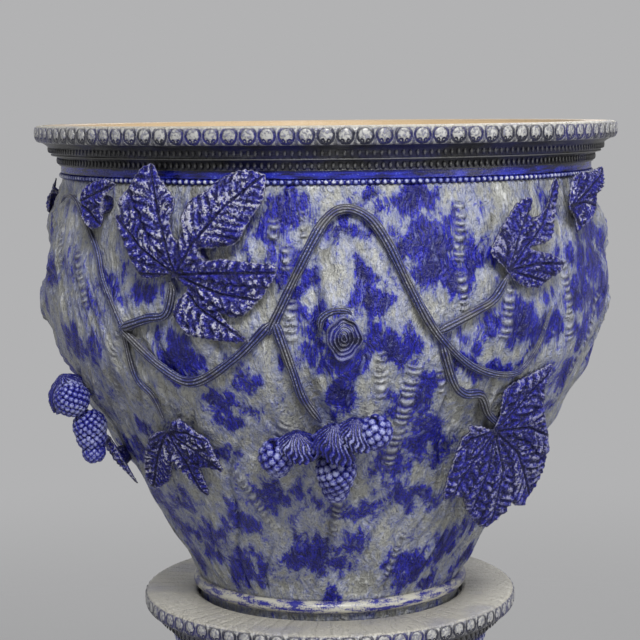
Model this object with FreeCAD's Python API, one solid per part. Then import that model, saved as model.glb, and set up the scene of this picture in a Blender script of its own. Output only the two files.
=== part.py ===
import FreeCAD
import Part
import math
import os

# Jardiniere of salt-glazed stoneware on its own stand. The bowl is thrown, and every vine, leaf,
# berry and knot is a piece of clay pressed on to it. Millimetres, +Z up, front towards -Y,
# origin on the floor at the middle of the stand.

# Whole object
stand_height = 650.0
bowl_height = 380.0

# Rim and neck of the bowl, heights measured down from the lip
rim_radius = 228.0
lip_width = 27.0
egg_band_height = 13.0
egg_band_depth = 7.0
egg_band_round = 3.5
cornice_height = 17.5
cornice_core_inset = 5.5
cavetto_edge_inset = 5.4
cavetto_break_inset = 13.8
cavetto_end_inset = 19.0
upper_cavetto_height = 9.6
cavetto_sag = 1.2
neck_band_height = 5.5
neck_band_depth = 3.5
bead_ring_height = 4.5
bead_ring_depth = 5.5
neck_core_inset = 24.0
neck_step = 2.1

# Thrown wall of the bowl
belly_inset = 8.8
belly_drop = 127.0
hip_curve_radius = 130.0
bowl_wall_thickness = 11.0
bowl_floor_thickness = 14.0
foot_radius = 104.0
foot_step = 1.0
foot_height = 22.0
foot_ring_width = 16.0
foot_moulding_height = 10.0
foot_moulding_depth = 6.0

# Cap of the stand
seat_clearance = 2.5
seat_rim_height = 8.0
cap_radius = 150.0
cap_band_depth = 12.0
cap_band_height = 13.0
cap_plate_thickness = 16.0
cap_cornice_height = 18.0
cap_core_inset = 4.0
cap_neck_height = 15.0
cap_bead_depth = 4.0
cap_skirt_thickness = 13.0

# Trunk of the stand
trunk_top_radius = 122.0
trunk_waist_radius = 94.0
trunk_waist_height = 330.0
trunk_foot_radius = 146.0
trunk_wall_thickness = 13.0

# Base of the stand
base_radius = 180.0
plinth_height = 12.0
base_band_height = 14.0
base_band_depth = 6.0
base_band_set_back = 2.0
base_core_inset = 4.0
base_cornice_height = 20.0
base_neck_height = 10.0
base_neck_radius = 150.0
base_bead_depth = 4.0
base_inner_radius = 128.0

# Applied pieces
leaf_thickness = 4.5
leaf_pad_radius = 17.0
small_leaf_pad_radius = 9.0
vine_radius = 3.6
twig_radius = 2.6
vine_sink = 1.4
twig_sink = 1.8
burl_rise = 8.6
burl_drop = 136.0
burl_curve_radius = 46.0
burl_shoulder_rise = 5.9
burl_shoulder_drop = 96.0
burl_shoulder_curve_radius = 80.0
knot_width = 24.0
knot_height = 30.0
knot_ring_rise = 1.6
burl_angle = 90.0
stand_leaf_lift = 5.0
stand_vine_start = -95.0
stand_vine_sweep = 430.0
stand_vine_sway = 16.0
stand_vine_foot = 22.0
stand_vine_head = 42.0
stand_vine_steps = 24
stand_knot_angle = 8.0
stand_knot_drop = 112.0
cut_reach = 60.0
stem_reach = 25.0

rim_top = stand_height + bowl_height
egg_band_bottom = rim_top - egg_band_height
cornice_bottom = egg_band_bottom - cornice_height
neck_band_bottom = cornice_bottom - neck_band_height
wall_top = neck_band_bottom - bead_ring_height
belly_height = rim_top - belly_drop
wall_bottom = stand_height + foot_height
lip_inner_radius = rim_radius - lip_width
neck_core_radius = rim_radius - neck_core_inset
belly_radius = rim_radius - belly_inset
shoulder_flare = belly_radius - neck_core_radius - neck_step
shoulder_curve_radius = ((wall_top - belly_height) ** 2 + shoulder_flare ** 2) / (2 * shoulder_flare)
foot_inset = foot_radius + foot_step - (belly_radius - hip_curve_radius)
foot_drop = belly_height - wall_bottom
taper = math.atan2(foot_drop, foot_inset) - math.acos(hip_curve_radius / math.hypot(foot_drop, foot_inset))
seat_radius = foot_radius + seat_clearance
trunk_bottom = plinth_height + base_band_height + base_cornice_height + base_neck_height
cap_rim_top = stand_height + seat_rim_height
cap_band_bottom = cap_rim_top - cap_band_height
cap_neck_top = cap_band_bottom - cap_cornice_height
trunk_top = cap_neck_top - cap_neck_height
cap_neck_radius = trunk_top_radius + 1.0
base_band_inner = base_radius - base_band_set_back - base_band_depth


# ---------------------------------------------------------------- plain geometry

def vec(x, y, z):
    return FreeCAD.Vector(x, y, z)


def in_section(point):
    """A point of a turned section: distance from the axis and height."""
    return vec(point[0], 0.0, point[1])


def line(start, end):
    return Part.LineSegment(in_section(start), in_section(end)).toShape()


def arc(start, middle, end):
    return Part.Arc(in_section(start), in_section(middle), in_section(end)).toShape()


def turned(edges):
    """Solid of revolution of a closed section about the upright axis."""
    face = Part.Face(Part.Wire(edges))
    return face.revolve(vec(0, 0, 0), vec(0, 0, 1), 360.0)


def chain(points):
    return [line(a, b) for a, b in zip(points, points[1:])]


def turned_polygon(points):
    return turned(chain(points + [points[0]]))


def on_circle(centre, radius, angle):
    return (centre[0] + radius * math.cos(angle), centre[1] + radius * math.sin(angle))


# ---------------------------------------------------------------- profiles that carry the pieces

def wall_radius(height):
    """Outer radius of the bowl's wall at a height above the floor."""
    drop = belly_height - height
    if drop < 0:
        return belly_radius - shoulder_curve_radius + math.sqrt(shoulder_curve_radius ** 2 - drop ** 2)
    if drop < hip_curve_radius * math.sin(taper):
        return belly_radius - hip_curve_radius + math.sqrt(hip_curve_radius ** 2 - drop ** 2)
    straight = drop - hip_curve_radius * math.sin(taper)
    return belly_radius - hip_curve_radius * (1 - math.cos(taper)) - straight * math.tan(taper)


def wall_slope(height):
    """Lean of the wall's outward line above the level, in degrees."""
    drop = belly_height - height
    if drop < 0:
        return math.degrees(math.asin(-drop / shoulder_curve_radius))
    if drop < hip_curve_radius * math.sin(taper):
        return -math.degrees(math.asin(drop / hip_curve_radius))
    return -math.degrees(taper)


def wall_edges(offset, bottom):
    """The wall's outline from the neck down to a height, moved outwards by an offset."""
    shoulder = (belly_radius - shoulder_curve_radius, belly_height)
    shoulder_radius = shoulder_curve_radius + offset
    hip = (belly_radius - hip_curve_radius, belly_height)
    hip_radius = hip_curve_radius + offset
    top_angle = math.asin((wall_top - belly_height) / shoulder_radius)
    top = on_circle(shoulder, shoulder_radius, top_angle)
    belly = (belly_radius + offset, belly_height)
    hip_end = on_circle(hip, hip_radius, -taper)
    end = (hip_end[0] - (hip_end[1] - bottom) * math.tan(taper), bottom)
    upper = arc(top, on_circle(shoulder, shoulder_radius, top_angle / 2), belly)
    lower = arc(belly, on_circle(hip, hip_radius, -taper / 2), hip_end)
    return top, [upper, lower, line(hip_end, end)], end


def trunk_curves():
    """Centre and radius of the two hollow curves of the trunk, above and below its waist."""
    curves = []
    for radius, height in ((trunk_top_radius, trunk_top), (trunk_foot_radius, trunk_bottom)):
        flare = radius - trunk_waist_radius
        reach = height - trunk_waist_height
        size = (reach ** 2 + flare ** 2) / (2 * flare)
        curves.append(((trunk_waist_radius + size, trunk_waist_height), size, reach))
    return curves


def trunk_radius(height):
    above, below = trunk_curves()
    centre, size, _ = above if height > trunk_waist_height else below
    return centre[0] - math.sqrt(size ** 2 - (height - trunk_waist_height) ** 2)


def trunk_slope(height):
    """Lean of the trunk's outward line above the level, in degrees."""
    above, below = trunk_curves()
    _, size, _ = above if height > trunk_waist_height else below
    return -math.degrees(math.asin((height - trunk_waist_height) / size))


def trunk_edges(offset):
    """The trunk's outline from top to bottom, moved outwards by an offset."""
    above, below = trunk_curves()
    ends = []
    arcs = []
    waist = (trunk_waist_radius + offset, trunk_waist_height)
    for centre, size, reach in (above, below):
        radius = size - offset
        angle = math.pi - math.asin(reach / radius)
        end = on_circle(centre, radius, angle)
        ends.append(end)
        arcs.append(arc(end, on_circle(centre, radius, (angle + math.pi) / 2), waist))
    return ends[0], arcs, ends[1]


# ---------------------------------------------------------------- bowl

def cornice_core_top():
    return (rim_radius - egg_band_depth - cornice_core_inset, egg_band_bottom)


def bowl_outline():
    """Filled shape of the thrown bowl with its foot, without the applied mouldings."""
    top, edges, end = wall_edges(0.0, wall_bottom)
    neck = [(0, rim_top), (rim_radius - egg_band_depth, rim_top),
            (rim_radius - egg_band_depth, egg_band_bottom), cornice_core_top(),
            (neck_core_radius, cornice_bottom), (neck_core_radius, wall_top), top]
    foot = [end, (foot_radius, wall_bottom), (foot_radius, stand_height), (0, stand_height), (0, rim_top)]
    return turned(chain(neck) + edges + chain(foot))


def bowl_hollow():
    """Space inside the bowl, open at the lip."""
    floor = wall_bottom - foot_ring_width / 2 + bowl_floor_thickness
    top, edges, end = wall_edges(-bowl_wall_thickness, floor)
    mouth = [(0, rim_top), (lip_inner_radius, rim_top), (top[0], egg_band_bottom), top]
    return turned(chain(mouth) + edges + chain([end, (0, floor), (0, rim_top)]))


def foot_hollow():
    inner = foot_radius - foot_ring_width
    ceiling = wall_bottom - foot_ring_width / 2
    return turned_polygon([(0, stand_height), (inner, stand_height), (inner - 4, ceiling), (0, ceiling)])


def egg_band(outer, bottom, height, depth):
    """Moulded band with rounded edges, on a wall of the band's inner radius."""
    rounding = egg_band_round
    inner = outer - depth
    top = bottom + height
    slant = rounding * math.sqrt(0.5)
    corner = outer - rounding + slant
    edges = chain([(inner, bottom), (inner, top), (outer - rounding, top)])
    edges.append(arc((outer - rounding, top), (corner, top - rounding + slant), (outer, top - rounding)))
    edges.append(line((outer, top - rounding), (outer, bottom + rounding)))
    edges.append(arc((outer, bottom + rounding), (corner, bottom + rounding - slant), (outer - rounding, bottom)))
    edges.append(line((outer - rounding, bottom), (inner, bottom)))
    return turned(edges)


def hollow_moulding(outer_end, inner_end, back, sag):
    """Ring with a hollow face between two edges, lying on the slope behind it."""
    middle = ((outer_end[0] + inner_end[0]) / 2 - sag, (outer_end[1] + inner_end[1]) / 2 + sag)
    return turned([arc(outer_end, middle, inner_end)] + chain([inner_end] + back + [outer_end]))


def rim_cavettos():
    """Two reeded hollows under the egg band, one stepped in under the other."""
    core_top = cornice_core_top()
    core_end = (neck_core_radius, cornice_bottom)
    break_height = egg_band_bottom - upper_cavetto_height
    share = upper_cavetto_height / cornice_height
    core_break = (core_top[0] + (core_end[0] - core_top[0]) * share, break_height)
    edge = (rim_radius - cavetto_edge_inset, egg_band_bottom)
    first_end = (rim_radius - cavetto_break_inset, break_height)
    second_start = (first_end[0] - cavetto_sag, break_height)
    second_end = (rim_radius - cavetto_end_inset, cornice_bottom)
    upper = hollow_moulding(edge, first_end, [core_break, core_top], cavetto_sag)
    lower = hollow_moulding(second_start, second_end, [core_end, core_break], cavetto_sag)
    return upper.fuse(lower).removeSplitter()


def band(outer, inner, bottom, height):
    top = bottom + height
    return turned_polygon([(inner, bottom), (outer, bottom), (outer, top), (inner, top)])


def bead_ring(inner, depth, bottom, height):
    """Ring with a half-round face, the body of a row of beads."""
    top = bottom + height
    edge = inner + depth - height / 2
    face = arc((edge, top), (inner + depth, bottom + height / 2), (edge, bottom))
    return turned([face] + chain([(edge, bottom), (inner, bottom), (inner, top), (edge, top)]))


def foot_moulding():
    """Half-round ring that hides the joint between the wall and the foot."""
    bottom = wall_bottom - foot_moulding_height
    return bead_ring(foot_radius, foot_moulding_depth, bottom, foot_moulding_height)


# ---------------------------------------------------------------- stand

def cap_outline(skirt_inner):
    """Filled cap, or with its skirt hollowed out to a radius."""
    plate_bottom = stand_height - cap_plate_thickness
    plate_radius = cap_radius - cap_band_depth
    return turned_polygon([(0, stand_height), (plate_radius, stand_height), (plate_radius, cap_band_bottom),
                           (plate_radius - cap_core_inset, cap_band_bottom),
                           (cap_neck_radius, cap_neck_top), (cap_neck_radius, trunk_top),
                           (skirt_inner, trunk_top), (skirt_inner, plate_bottom), (0, plate_bottom)])


def cap_band():
    """Moulded rim of the cap. It stands above the seat and keeps the bowl's foot in place."""
    rounding = egg_band_round
    plate_radius = cap_radius - cap_band_depth
    ring = egg_band(cap_radius, cap_band_bottom, cap_band_height, cap_band_depth)
    shelf = turned_polygon([(seat_radius, stand_height), (plate_radius, stand_height),
                            (plate_radius, cap_rim_top), (seat_radius + rounding, cap_rim_top),
                            (seat_radius, cap_rim_top - rounding)])
    return ring.fuse(shelf).removeSplitter()


def cap_cavetto():
    start = (cap_radius - egg_band_round, cap_band_bottom)
    end = (cap_neck_radius + cap_bead_depth, cap_neck_top)
    back = [(cap_neck_radius, cap_neck_top), (cap_radius - cap_band_depth - cap_core_inset, cap_band_bottom)]
    return hollow_moulding(start, end, back, cavetto_sag)


def trunk_core():
    top, arcs, bottom = trunk_edges(0.0)
    return turned(arcs + chain([bottom, (0, trunk_bottom), (0, trunk_top), top]))


def trunk_shape(offset):
    """Filled trunk grown by an offset, for the pieces that lie on it."""
    top, arcs, bottom = trunk_edges(offset)
    return turned(arcs + chain([bottom, (0, bottom[1]), (0, top[1]), top]))


def trunk_wall():
    top, arcs, bottom = trunk_edges(-trunk_wall_thickness)
    hollow = turned(arcs + chain([bottom, (0, trunk_bottom), (0, trunk_top), top]))
    return trunk_core().cut(hollow)


def base_ring():
    band_top = plinth_height + base_band_height
    return turned_polygon([(base_inner_radius, 0), (base_radius, 0), (base_radius, plinth_height),
                           (base_band_inner, plinth_height), (base_band_inner, band_top),
                           (base_band_inner - base_core_inset, band_top),
                           (base_neck_radius, band_top + base_cornice_height),
                           (base_neck_radius, trunk_bottom), (base_inner_radius, trunk_bottom)])


def base_cavetto():
    band_top = plinth_height + base_band_height
    neck_bottom = band_top + base_cornice_height
    outer_end = (base_radius - base_band_set_back - egg_band_round, band_top)
    inner_end = (base_neck_radius + base_bead_depth, neck_bottom)
    back = [(base_neck_radius, neck_bottom), (base_band_inner - base_core_inset, band_top)]
    middle = ((outer_end[0] + inner_end[0]) / 2 - cavetto_sag, (outer_end[1] + inner_end[1]) / 2 - cavetto_sag)
    return turned([arc(outer_end, middle, inner_end)] + chain([inner_end] + back + [outer_end]))


# ---------------------------------------------------------------- places on the walls

class Place:
    """A spot on a wall: angle from the front (to the right), height, radius and lean of its outward line."""

    def __init__(self, angle, height, radius, lean=0.0):
        self.angle = math.radians(angle)
        self.lean = math.radians(lean)
        outward = vec(math.sin(self.angle), -math.cos(self.angle), 0)
        up = vec(0, 0, 1)
        self.origin = outward * radius + up * height
        self.across = vec(math.cos(self.angle), math.sin(self.angle), 0)
        self.normal = outward * math.cos(self.lean) + up * math.sin(self.lean)
        self.upward = up * math.cos(self.lean) - outward * math.sin(self.lean)

    def at(self, x, y, depth=0.0):
        return self.origin + self.across * x + self.upward * y + self.normal * depth


def outline_prism(place, outline, behind, ahead):
    """The outline carried straight through the wall at its place."""
    points = [place.at(x, y, -behind) for x, y in outline]
    face = Part.Face(Part.makePolygon(points + [points[0]]))
    return face.extrude(place.normal * (behind + ahead))


def seated(shape, solids):
    """A piece trimmed to lie face to face on the solids that carry or cross it."""
    for solid in solids:
        if shape.BoundBox.intersect(solid.BoundBox):
            shape = shape.cut(solid)
    pieces = sorted(shape.Solids, key=lambda solid: solid.Volume)
    return pieces[-1]


def domed_leaf(place, outline, curve_radius, pad_radius, solids):
    """A leaf pressed in a mould: a thin domed sheet on a pad of clay that carries it."""
    centre = place.at(0, 0, -curve_radius)
    dome = Part.makeSphere(curve_radius, centre)
    underside = Part.makeSphere(curve_radius - leaf_thickness, centre)
    prism = outline_prism(place, outline, cut_reach, cut_reach)
    middle_x = (min(x for x, _ in outline) + max(x for x, _ in outline)) / 2
    middle_y = (min(y for _, y in outline) + max(y for _, y in outline)) / 2
    pad = Part.makeCylinder(pad_radius, 2 * cut_reach, place.at(middle_x, middle_y, -cut_reach), place.normal)
    sheet = prism.common(dome).cut(underside)
    return seated(sheet.fuse(pad.common(dome)), solids)


def wrapped_leaf(place, outline, lift, pad_radius, solids):
    """A leaf that follows the trunk of the stand all over."""
    prism = outline_prism(place, outline, cut_reach, cut_reach)
    sheet = prism.common(trunk_shape(lift + leaf_thickness)).cut(trunk_shape(lift))
    pad = Part.makeCylinder(pad_radius, 2 * cut_reach, place.at(0, 0, -cut_reach), place.normal)
    return seated(sheet.fuse(pad.common(trunk_shape(lift + leaf_thickness))), solids)


def scaled(outline, factor, turn=0.0):
    c = math.cos(math.radians(turn)) * factor
    s = math.sin(math.radians(turn)) * factor
    return [(x * c - y * s, x * s + y * c) for x, y in outline]


def vine_path(points):
    """Straight runs joined by tangent arcs through points in space."""
    edges = []
    start = points[0]
    for before, corner, after in zip(points, points[1:], points[2:]):
        back = before - corner
        ahead = after - corner
        tangent = 0.45 * min(back.Length, ahead.Length)
        back.normalize()
        ahead.normalize()
        half = back.getAngle(ahead) / 2
        inwards = back + ahead
        inwards.normalize()
        centre = corner + inwards * (tangent / math.cos(half))
        middle = centre - inwards * (tangent * math.tan(half))
        first = corner + back * tangent
        last = corner + ahead * tangent
        edges.append(Part.LineSegment(start, first).toShape())
        edges.append(Part.Arc(first, middle, last).toShape())
        start = last
    edges.append(Part.LineSegment(start, points[-1]).toShape())
    return Part.Wire(edges)


def vine(stations, radius, sink, radius_at, datum, solids):
    """A rolled strand of clay along stations of angle and height, pressed on to the wall."""
    points = []
    for angle, height in stations:
        place = Place(angle, datum + height, radius_at(datum + height) + radius - sink)
        points.append(place.origin)
    path = vine_path(points)
    start = points[1] - points[0]
    section = Part.Wire(Part.makeCircle(radius, points[0], start))
    tube = path.makePipeShell([section], True, False)
    return seated(tube, solids)


def berry(place, half_width, half_length):
    """One hanging fruit, a stack of three round swellings that narrow downwards."""
    rounds = ((half_width, half_length - half_width), (half_width * 0.9, 0.0),
              (half_width * 0.68, half_width * 0.68 - half_length))
    fruit = None
    for radius, rise in rounds:
        swelling = Part.makeSphere(radius, place.at(0, rise))
        fruit = swelling if fruit is None else fruit.fuse(swelling)
    return fruit


def berry_cluster(fruits, radius_at, slope_at, datum, solids):
    """Fruits joined to each other, each on a short stem of clay that holds it to the wall."""
    whole = None
    for angle, height, lift, half_width, half_length, tilt in fruits:
        level = datum + height
        radius = radius_at(level) + lift
        place = Place(angle, level, radius, slope_at(level) + tilt)
        fruit = berry(place, half_width, half_length)
        stem_length = lift + stem_reach
        stem = Part.makeCylinder(half_width * 0.6, stem_length, place.at(0, 0, -stem_length), place.normal)
        fruit = fruit.fuse(stem)
        whole = fruit if whole is None else whole.fuse(fruit)
    return seated(whole, solids)


def burl(angle, solids):
    """Swelling of the bark at one side: a full knob with a lower shoulder above it."""
    knob_height = rim_top - burl_drop
    shoulder_height = rim_top - burl_shoulder_drop
    knob = Place(angle, knob_height, wall_radius(knob_height) + burl_rise - burl_curve_radius)
    shoulder_radius = wall_radius(shoulder_height) + burl_shoulder_rise - burl_shoulder_curve_radius
    shoulder = Place(angle, shoulder_height, shoulder_radius)
    solid = Part.makeSphere(burl_curve_radius, knob.origin)
    solid = solid.fuse(Part.makeSphere(burl_shoulder_curve_radius, shoulder.origin))
    return seated(solid, solids)


def knot(place, solids):
    """Cut branch end: three oval rings, each rising above the one around it."""
    solid = None
    for step, share in enumerate((1.0, 0.72, 0.42), start=1):
        major = knot_height / 2 * share
        minor = knot_width / 2 * share
        root = -stem_reach
        ellipse = Part.Ellipse(place.at(0, major, root), place.at(minor, 0, root), place.at(0, 0, root))
        ring = Part.Face(Part.Wire(ellipse.toShape())).extrude(place.normal * (stem_reach + step * knot_ring_rise))
        solid = ring if solid is None else solid.fuse(ring)
    return seated(solid, solids)


# ---------------------------------------------------------------- leaf outlines, flat, seen from outside

big_leaf = [(-15, -6), (-30, -10), (-39, -8), (-51, 10), (-62, 32), (-57, 35), (-60, 43), (-51, 53),
            (-44, 64), (-33, 70), (-24, 59), (-13, 48), (-11, 42), (-14, 31), (-12, 22), (-8, 17),
            (-4, 24), (-6, 33), (1, 45), (13, 52), (20, 58), (37, 66), (54, 62), (54, 46), (45, 31),
            (38, 18), (30, 14), (8, 12), (13, 4), (27, 6), (44, 4), (64, 2), (63, -6), (54, -20),
            (40, -33), (32, -34), (23, -31), (30, -40), (43, -51), (20, -51), (-4, -47), (-13, -34),
            (-8, -23), (0, -15), (-6, -11)]
high_right_leaf = [(-35, -8), (-48, 4), (-45, 11), (-36, 24), (-22, 37), (-9, 41), (-8, 36), (-12, 29),
                   (-8, 24), (3, 30), (9, 36), (14, 45), (21, 53), (23, 47), (15, 29), (8, 10), (-13, 5),
                   (5, 1), (16, -3), (26, -8), (17, -15), (6, -19), (-2, -23), (-16, -22), (-29, -15)]
low_right_leaf = [(-19, 23), (-16, 34), (-18, 52), (-10, 59), (11, 65), (29, 69), (29, 61), (25, 53),
                  (31, 34), (40, 19), (49, 7), (55, -18), (54, -40), (47, -54), (36, -51), (28, -45),
                  (25, -56), (13, -67), (0, -62), (-12, -52), (-21, -43), (-28, -33), (-38, -30),
                  (-47, -32), (-51, -18), (-50, 2), (-48, 20), (-43, 23), (-44, 29), (-32, 27)]
low_left_leaf = [(-2, 19), (-12, 17), (-23, 11), (-30, 1), (-38, -11), (-44, -24), (-46, -35), (-43, -43),
                 (-31, -36), (-20, -28), (-13, -17), (-6, -8), (-1, -17), (6, -33), (11, -40), (15, -28),
                 (16, -12), (25, -11), (35, -14), (35, -3), (33, 14), (25, 21), (13, 31), (4, 27)]
curled_leaf = [(-20, 3), (-18, 8), (-10, 14), (8, 18), (22, 15), (14, 9), (8, 3), (6, -4), (9, -10),
               (4, -16), (-6, -17), (-13, -12), (-17, -5)]
rim_leaf = [(-34, 0), (-31, 11), (-24, 20), (-8, 24), (8, 23), (36, 26), (32, 16), (22, 8), (14, 4),
            (16, -3), (4, -10), (-11, -15), (-23, -19), (-26, -9)]

# ---------------------------------------------------------------- vine stations, angle and height from the lip

arch_vine = [(-9.7, -134), (-4.3, -91), (-0.3, -64), (3.4, -56), (7.6, -62), (10.9, -79),
             (14.6, -108), (18.3, -134), (22.6, -153), (28, -168), (34.5, -176), (40, -175), (43.4, -158),
             (46.3, -130)]
left_vine = [(-11.4, -139), (-16.9, -158), (-26.1, -177), (-33.1, -167), (-41, -143)]
big_leaf_vine = [(-38.9, -136), (-34.5, -133), (-30.3, -129), (-29, -112)]
root_tendril = [(-42.7, -134), (-46.5, -110), (-49, -89), (-54.5, -69), (-61, -54), (-67.6, -52), (-71, -58)]
low_left_vine = [(-40.6, -150), (-40.7, -176), (-38, -192), (-37, -212)]
berry_vine = [(-9.2, -141), (-6.5, -165), (-4.8, -186), (-1.4, -205)]
low_right_vine = [(21.9, -160), (24.3, -178), (27.6, -188), (31.5, -190), (35.5, -206), (41, -221)]
high_right_vine = [(22.6, -137), (27.1, -129), (31.4, -121), (33.7, -105)]

centre_fruits = [(1.6, -247, 9.0, 14.5, 21.0, 2.5), (-11.3, -233, 8.0, 13.0, 15.0, 2.5),
                 (9.4, -213, 8.0, 12.5, 13.0, 6.5), (1.2, -220, 6.0, 14.0, 15.0, 4.5),
                 (-5.8, -221, 5.0, 13.0, 11.0, 4.5), (5.6, -215, 5.0, 12.0, 11.0, 4.5)]
side_fruits = [(-63.0, -208, 20.0, 13.5, 13.5, 4.5), (-63.5, -235, 24.0, 13.5, 20.0, 22.5)]
stand_fruits = [(26.0, -376, 7.0, 12.0, 17.0, 0.0), (19.0, -356, 6.0, 11.0, 13.0, 0.0),
                (33.5, -354, 6.0, 11.0, 13.0, 0.0), (26.0, -350, 5.0, 11.0, 12.0, 0.0)]


def stand_vine_stations():
    """Stations of the strand that climbs round the trunk, swinging from side to side."""
    foot = trunk_bottom + stand_vine_foot
    head = trunk_top - stand_vine_head
    stations = []
    for step in range(stand_vine_steps + 1):
        share = step / stand_vine_steps
        sway = stand_vine_sway * math.sin(share * 5.5 * math.pi)
        angle = stand_vine_start + stand_vine_sweep * share + sway
        stations.append((angle, foot + (head - foot) * share))
    return stations


# ---------------------------------------------------------------- assembly

def save(name, shape):
    if len(shape.Solids) != 1 or not shape.isValid():
        print("check", name, len(shape.Solids), shape.isValid())
    shape.Solids[0].exportStep("parts/" + name + ".step")


def build_bowl():
    """Thrown body of the bowl with its turned and moulded rings."""
    core = bowl_outline()
    wall = core.cut(bowl_hollow()).cut(foot_hollow())
    rings = {
        "rim_egg_band": egg_band(rim_radius, egg_band_bottom, egg_band_height, egg_band_depth),
        "rim_reeded_cavettos": rim_cavettos(),
        "neck_band": band(neck_core_radius + neck_band_depth, neck_core_radius, neck_band_bottom, neck_band_height),
        "neck_bead_ring": bead_ring(neck_core_radius, bead_ring_depth, wall_top, bead_ring_height),
        "bowl_foot_moulding": foot_moulding().cut(core),
    }
    save("bowl_wall", wall)
    for name, ring in rings.items():
        save(name, ring)
    return core, rings


def build_bowl_ornament(core, rings):
    """Leaves, fruit, knots and vines of the front, and the same again facing the back."""
    carriers = [core] + list(rings.values())
    made = {}

    def placed(angle, drop, lift, tilt):
        height = rim_top + drop
        return Place(angle, height, wall_radius(height) + lift, wall_slope(height) + tilt)

    leaves = (
        ("leaf_big", placed(-25, -95, 9.1, -6.3), big_leaf, 270.0, leaf_pad_radius),
        ("leaf_high_right", placed(42, -92, 9.9, -6.9), high_right_leaf, 250.0, leaf_pad_radius),
        ("leaf_low_right", placed(42, -240, 16.4, 8.5), low_right_leaf, 600.0, leaf_pad_radius),
        ("leaf_low_left", placed(-36, -235, 9.4, 2.5), low_left_leaf, 400.0, small_leaf_pad_radius),
        ("leaf_curled_left", placed(-48, -55, 11.5, -11.2), curled_leaf, 230.0, small_leaf_pad_radius),
        ("leaf_rim_right", placed(60, -60, 10.5, -8.2), rim_leaf, 1000.0, small_leaf_pad_radius),
        ("leaf_under_fruit", placed(-66, -252, 12.0, 2.5), scaled(curled_leaf, 1.0, -100.0), 200.0,
         small_leaf_pad_radius),
    )
    vines = (
        ("vine_arch", arch_vine, vine_radius, vine_sink),
        ("vine_left_sweep", left_vine, vine_radius, vine_sink),
        ("vine_to_big_leaf", big_leaf_vine, vine_radius, vine_sink),
        ("vine_root_tendril", root_tendril, twig_radius, twig_sink),
        ("vine_to_low_left_leaf", low_left_vine, twig_radius, twig_sink),
        ("vine_to_berries", berry_vine, vine_radius, vine_sink),
        ("vine_to_low_right_leaf", low_right_vine, vine_radius, vine_sink),
        ("vine_to_high_right_leaf", high_right_vine, vine_radius, vine_sink),
    )
    for name, stations, radius, sink in vines:
        made[name] = vine(stations, radius, sink, wall_radius, rim_top, carriers + list(made.values()))
    for name, place, outline, curve_radius, pad_radius in leaves:
        made[name] = domed_leaf(place, outline, curve_radius, pad_radius, carriers + list(made.values()))
    for name, fruits in (("berries_centre", centre_fruits), ("berries_side", side_fruits)):
        made[name] = berry_cluster(fruits, wall_radius, wall_slope, rim_top, carriers + list(made.values()))
    made["bark_knot"] = knot(placed(2.9, -143, 0.0, 2.1), carriers + list(made.values()))
    for name, shape in made.items():
        save(name + "_front", shape)
        save(name + "_back", shape.mirror(vec(0, 0, 0), vec(0, 1, 0)))
    made["leaf_rim_left"] = domed_leaf(placed(-90, -58, 9.5, -10.6), scaled(curled_leaf, 1.1, 80.0), 300.0,
                                       small_leaf_pad_radius, carriers)
    save("leaf_rim_left", made["leaf_rim_left"])
    for name, angle in (("burl_left", -burl_angle), ("burl_right", burl_angle)):
        save(name, burl(angle, carriers + list(made.values())))


def build_stand():
    """Base, trunk and cap of the stand with their rings, and the vine that climbs the trunk."""
    neck_bottom = plinth_height + base_band_height + base_cornice_height
    band_outer = base_band_inner + base_band_depth
    core = trunk_core()
    pieces = {
        "stand_base": base_ring(),
        "base_egg_band": egg_band(band_outer, plinth_height, base_band_height, base_band_depth),
        "base_reeded_cavetto": base_cavetto(),
        "base_bead_ring": bead_ring(base_neck_radius, base_bead_depth, neck_bottom, base_neck_height),
        "stand_trunk": trunk_wall(),
        "stand_cap": cap_outline(cap_neck_radius - cap_skirt_thickness),
        "cap_egg_band": cap_band(),
        "cap_reeded_cavetto": cap_cavetto(),
        "cap_bead_ring": bead_ring(cap_neck_radius, cap_bead_depth, cap_neck_top - base_neck_height, base_neck_height),
    }
    for name, shape in pieces.items():
        save(name, shape)
    solids = [core, pieces["base_bead_ring"], pieces["cap_bead_ring"]]
    made = {"stand_vine": vine(stand_vine_stations(), vine_radius, vine_sink, trunk_radius, 0.0, solids)}
    leaves = (
        ("stand_leaf_front", -22.0, -197.0, scaled(big_leaf, 0.72, 8.0)),
        ("stand_leaf_right", 62.0, -282.0, scaled(low_right_leaf, 0.72, -10.0)),
        ("stand_leaf_left", -42.0, -397.0, scaled(big_leaf, 0.66, -14.0)),
    )
    for name, angle, drop, outline in leaves:
        height = trunk_top + drop
        place = Place(angle, height, trunk_radius(height))
        made[name] = wrapped_leaf(place, outline, stand_leaf_lift, leaf_pad_radius, solids + list(made.values()))
    carriers = solids + list(made.values())
    made["stand_berries"] = berry_cluster(stand_fruits, trunk_radius, trunk_slope, trunk_top, carriers)
    knot_height_on_trunk = trunk_top - stand_knot_drop
    knot_place = Place(stand_knot_angle, knot_height_on_trunk, trunk_radius(knot_height_on_trunk))
    made["stand_knot"] = knot(knot_place, solids + list(made.values()))
    for name, shape in made.items():
        save(name, shape)


os.makedirs("parts", exist_ok=True)
bowl_core, bowl_rings = build_bowl()
build_bowl_ornament(bowl_core, bowl_rings)
build_stand()
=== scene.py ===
import bpy
import bmesh
import math
import numpy as np
from mathutils import Matrix, Vector
from mathutils.geometry import delaunay_2d_cdt


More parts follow.
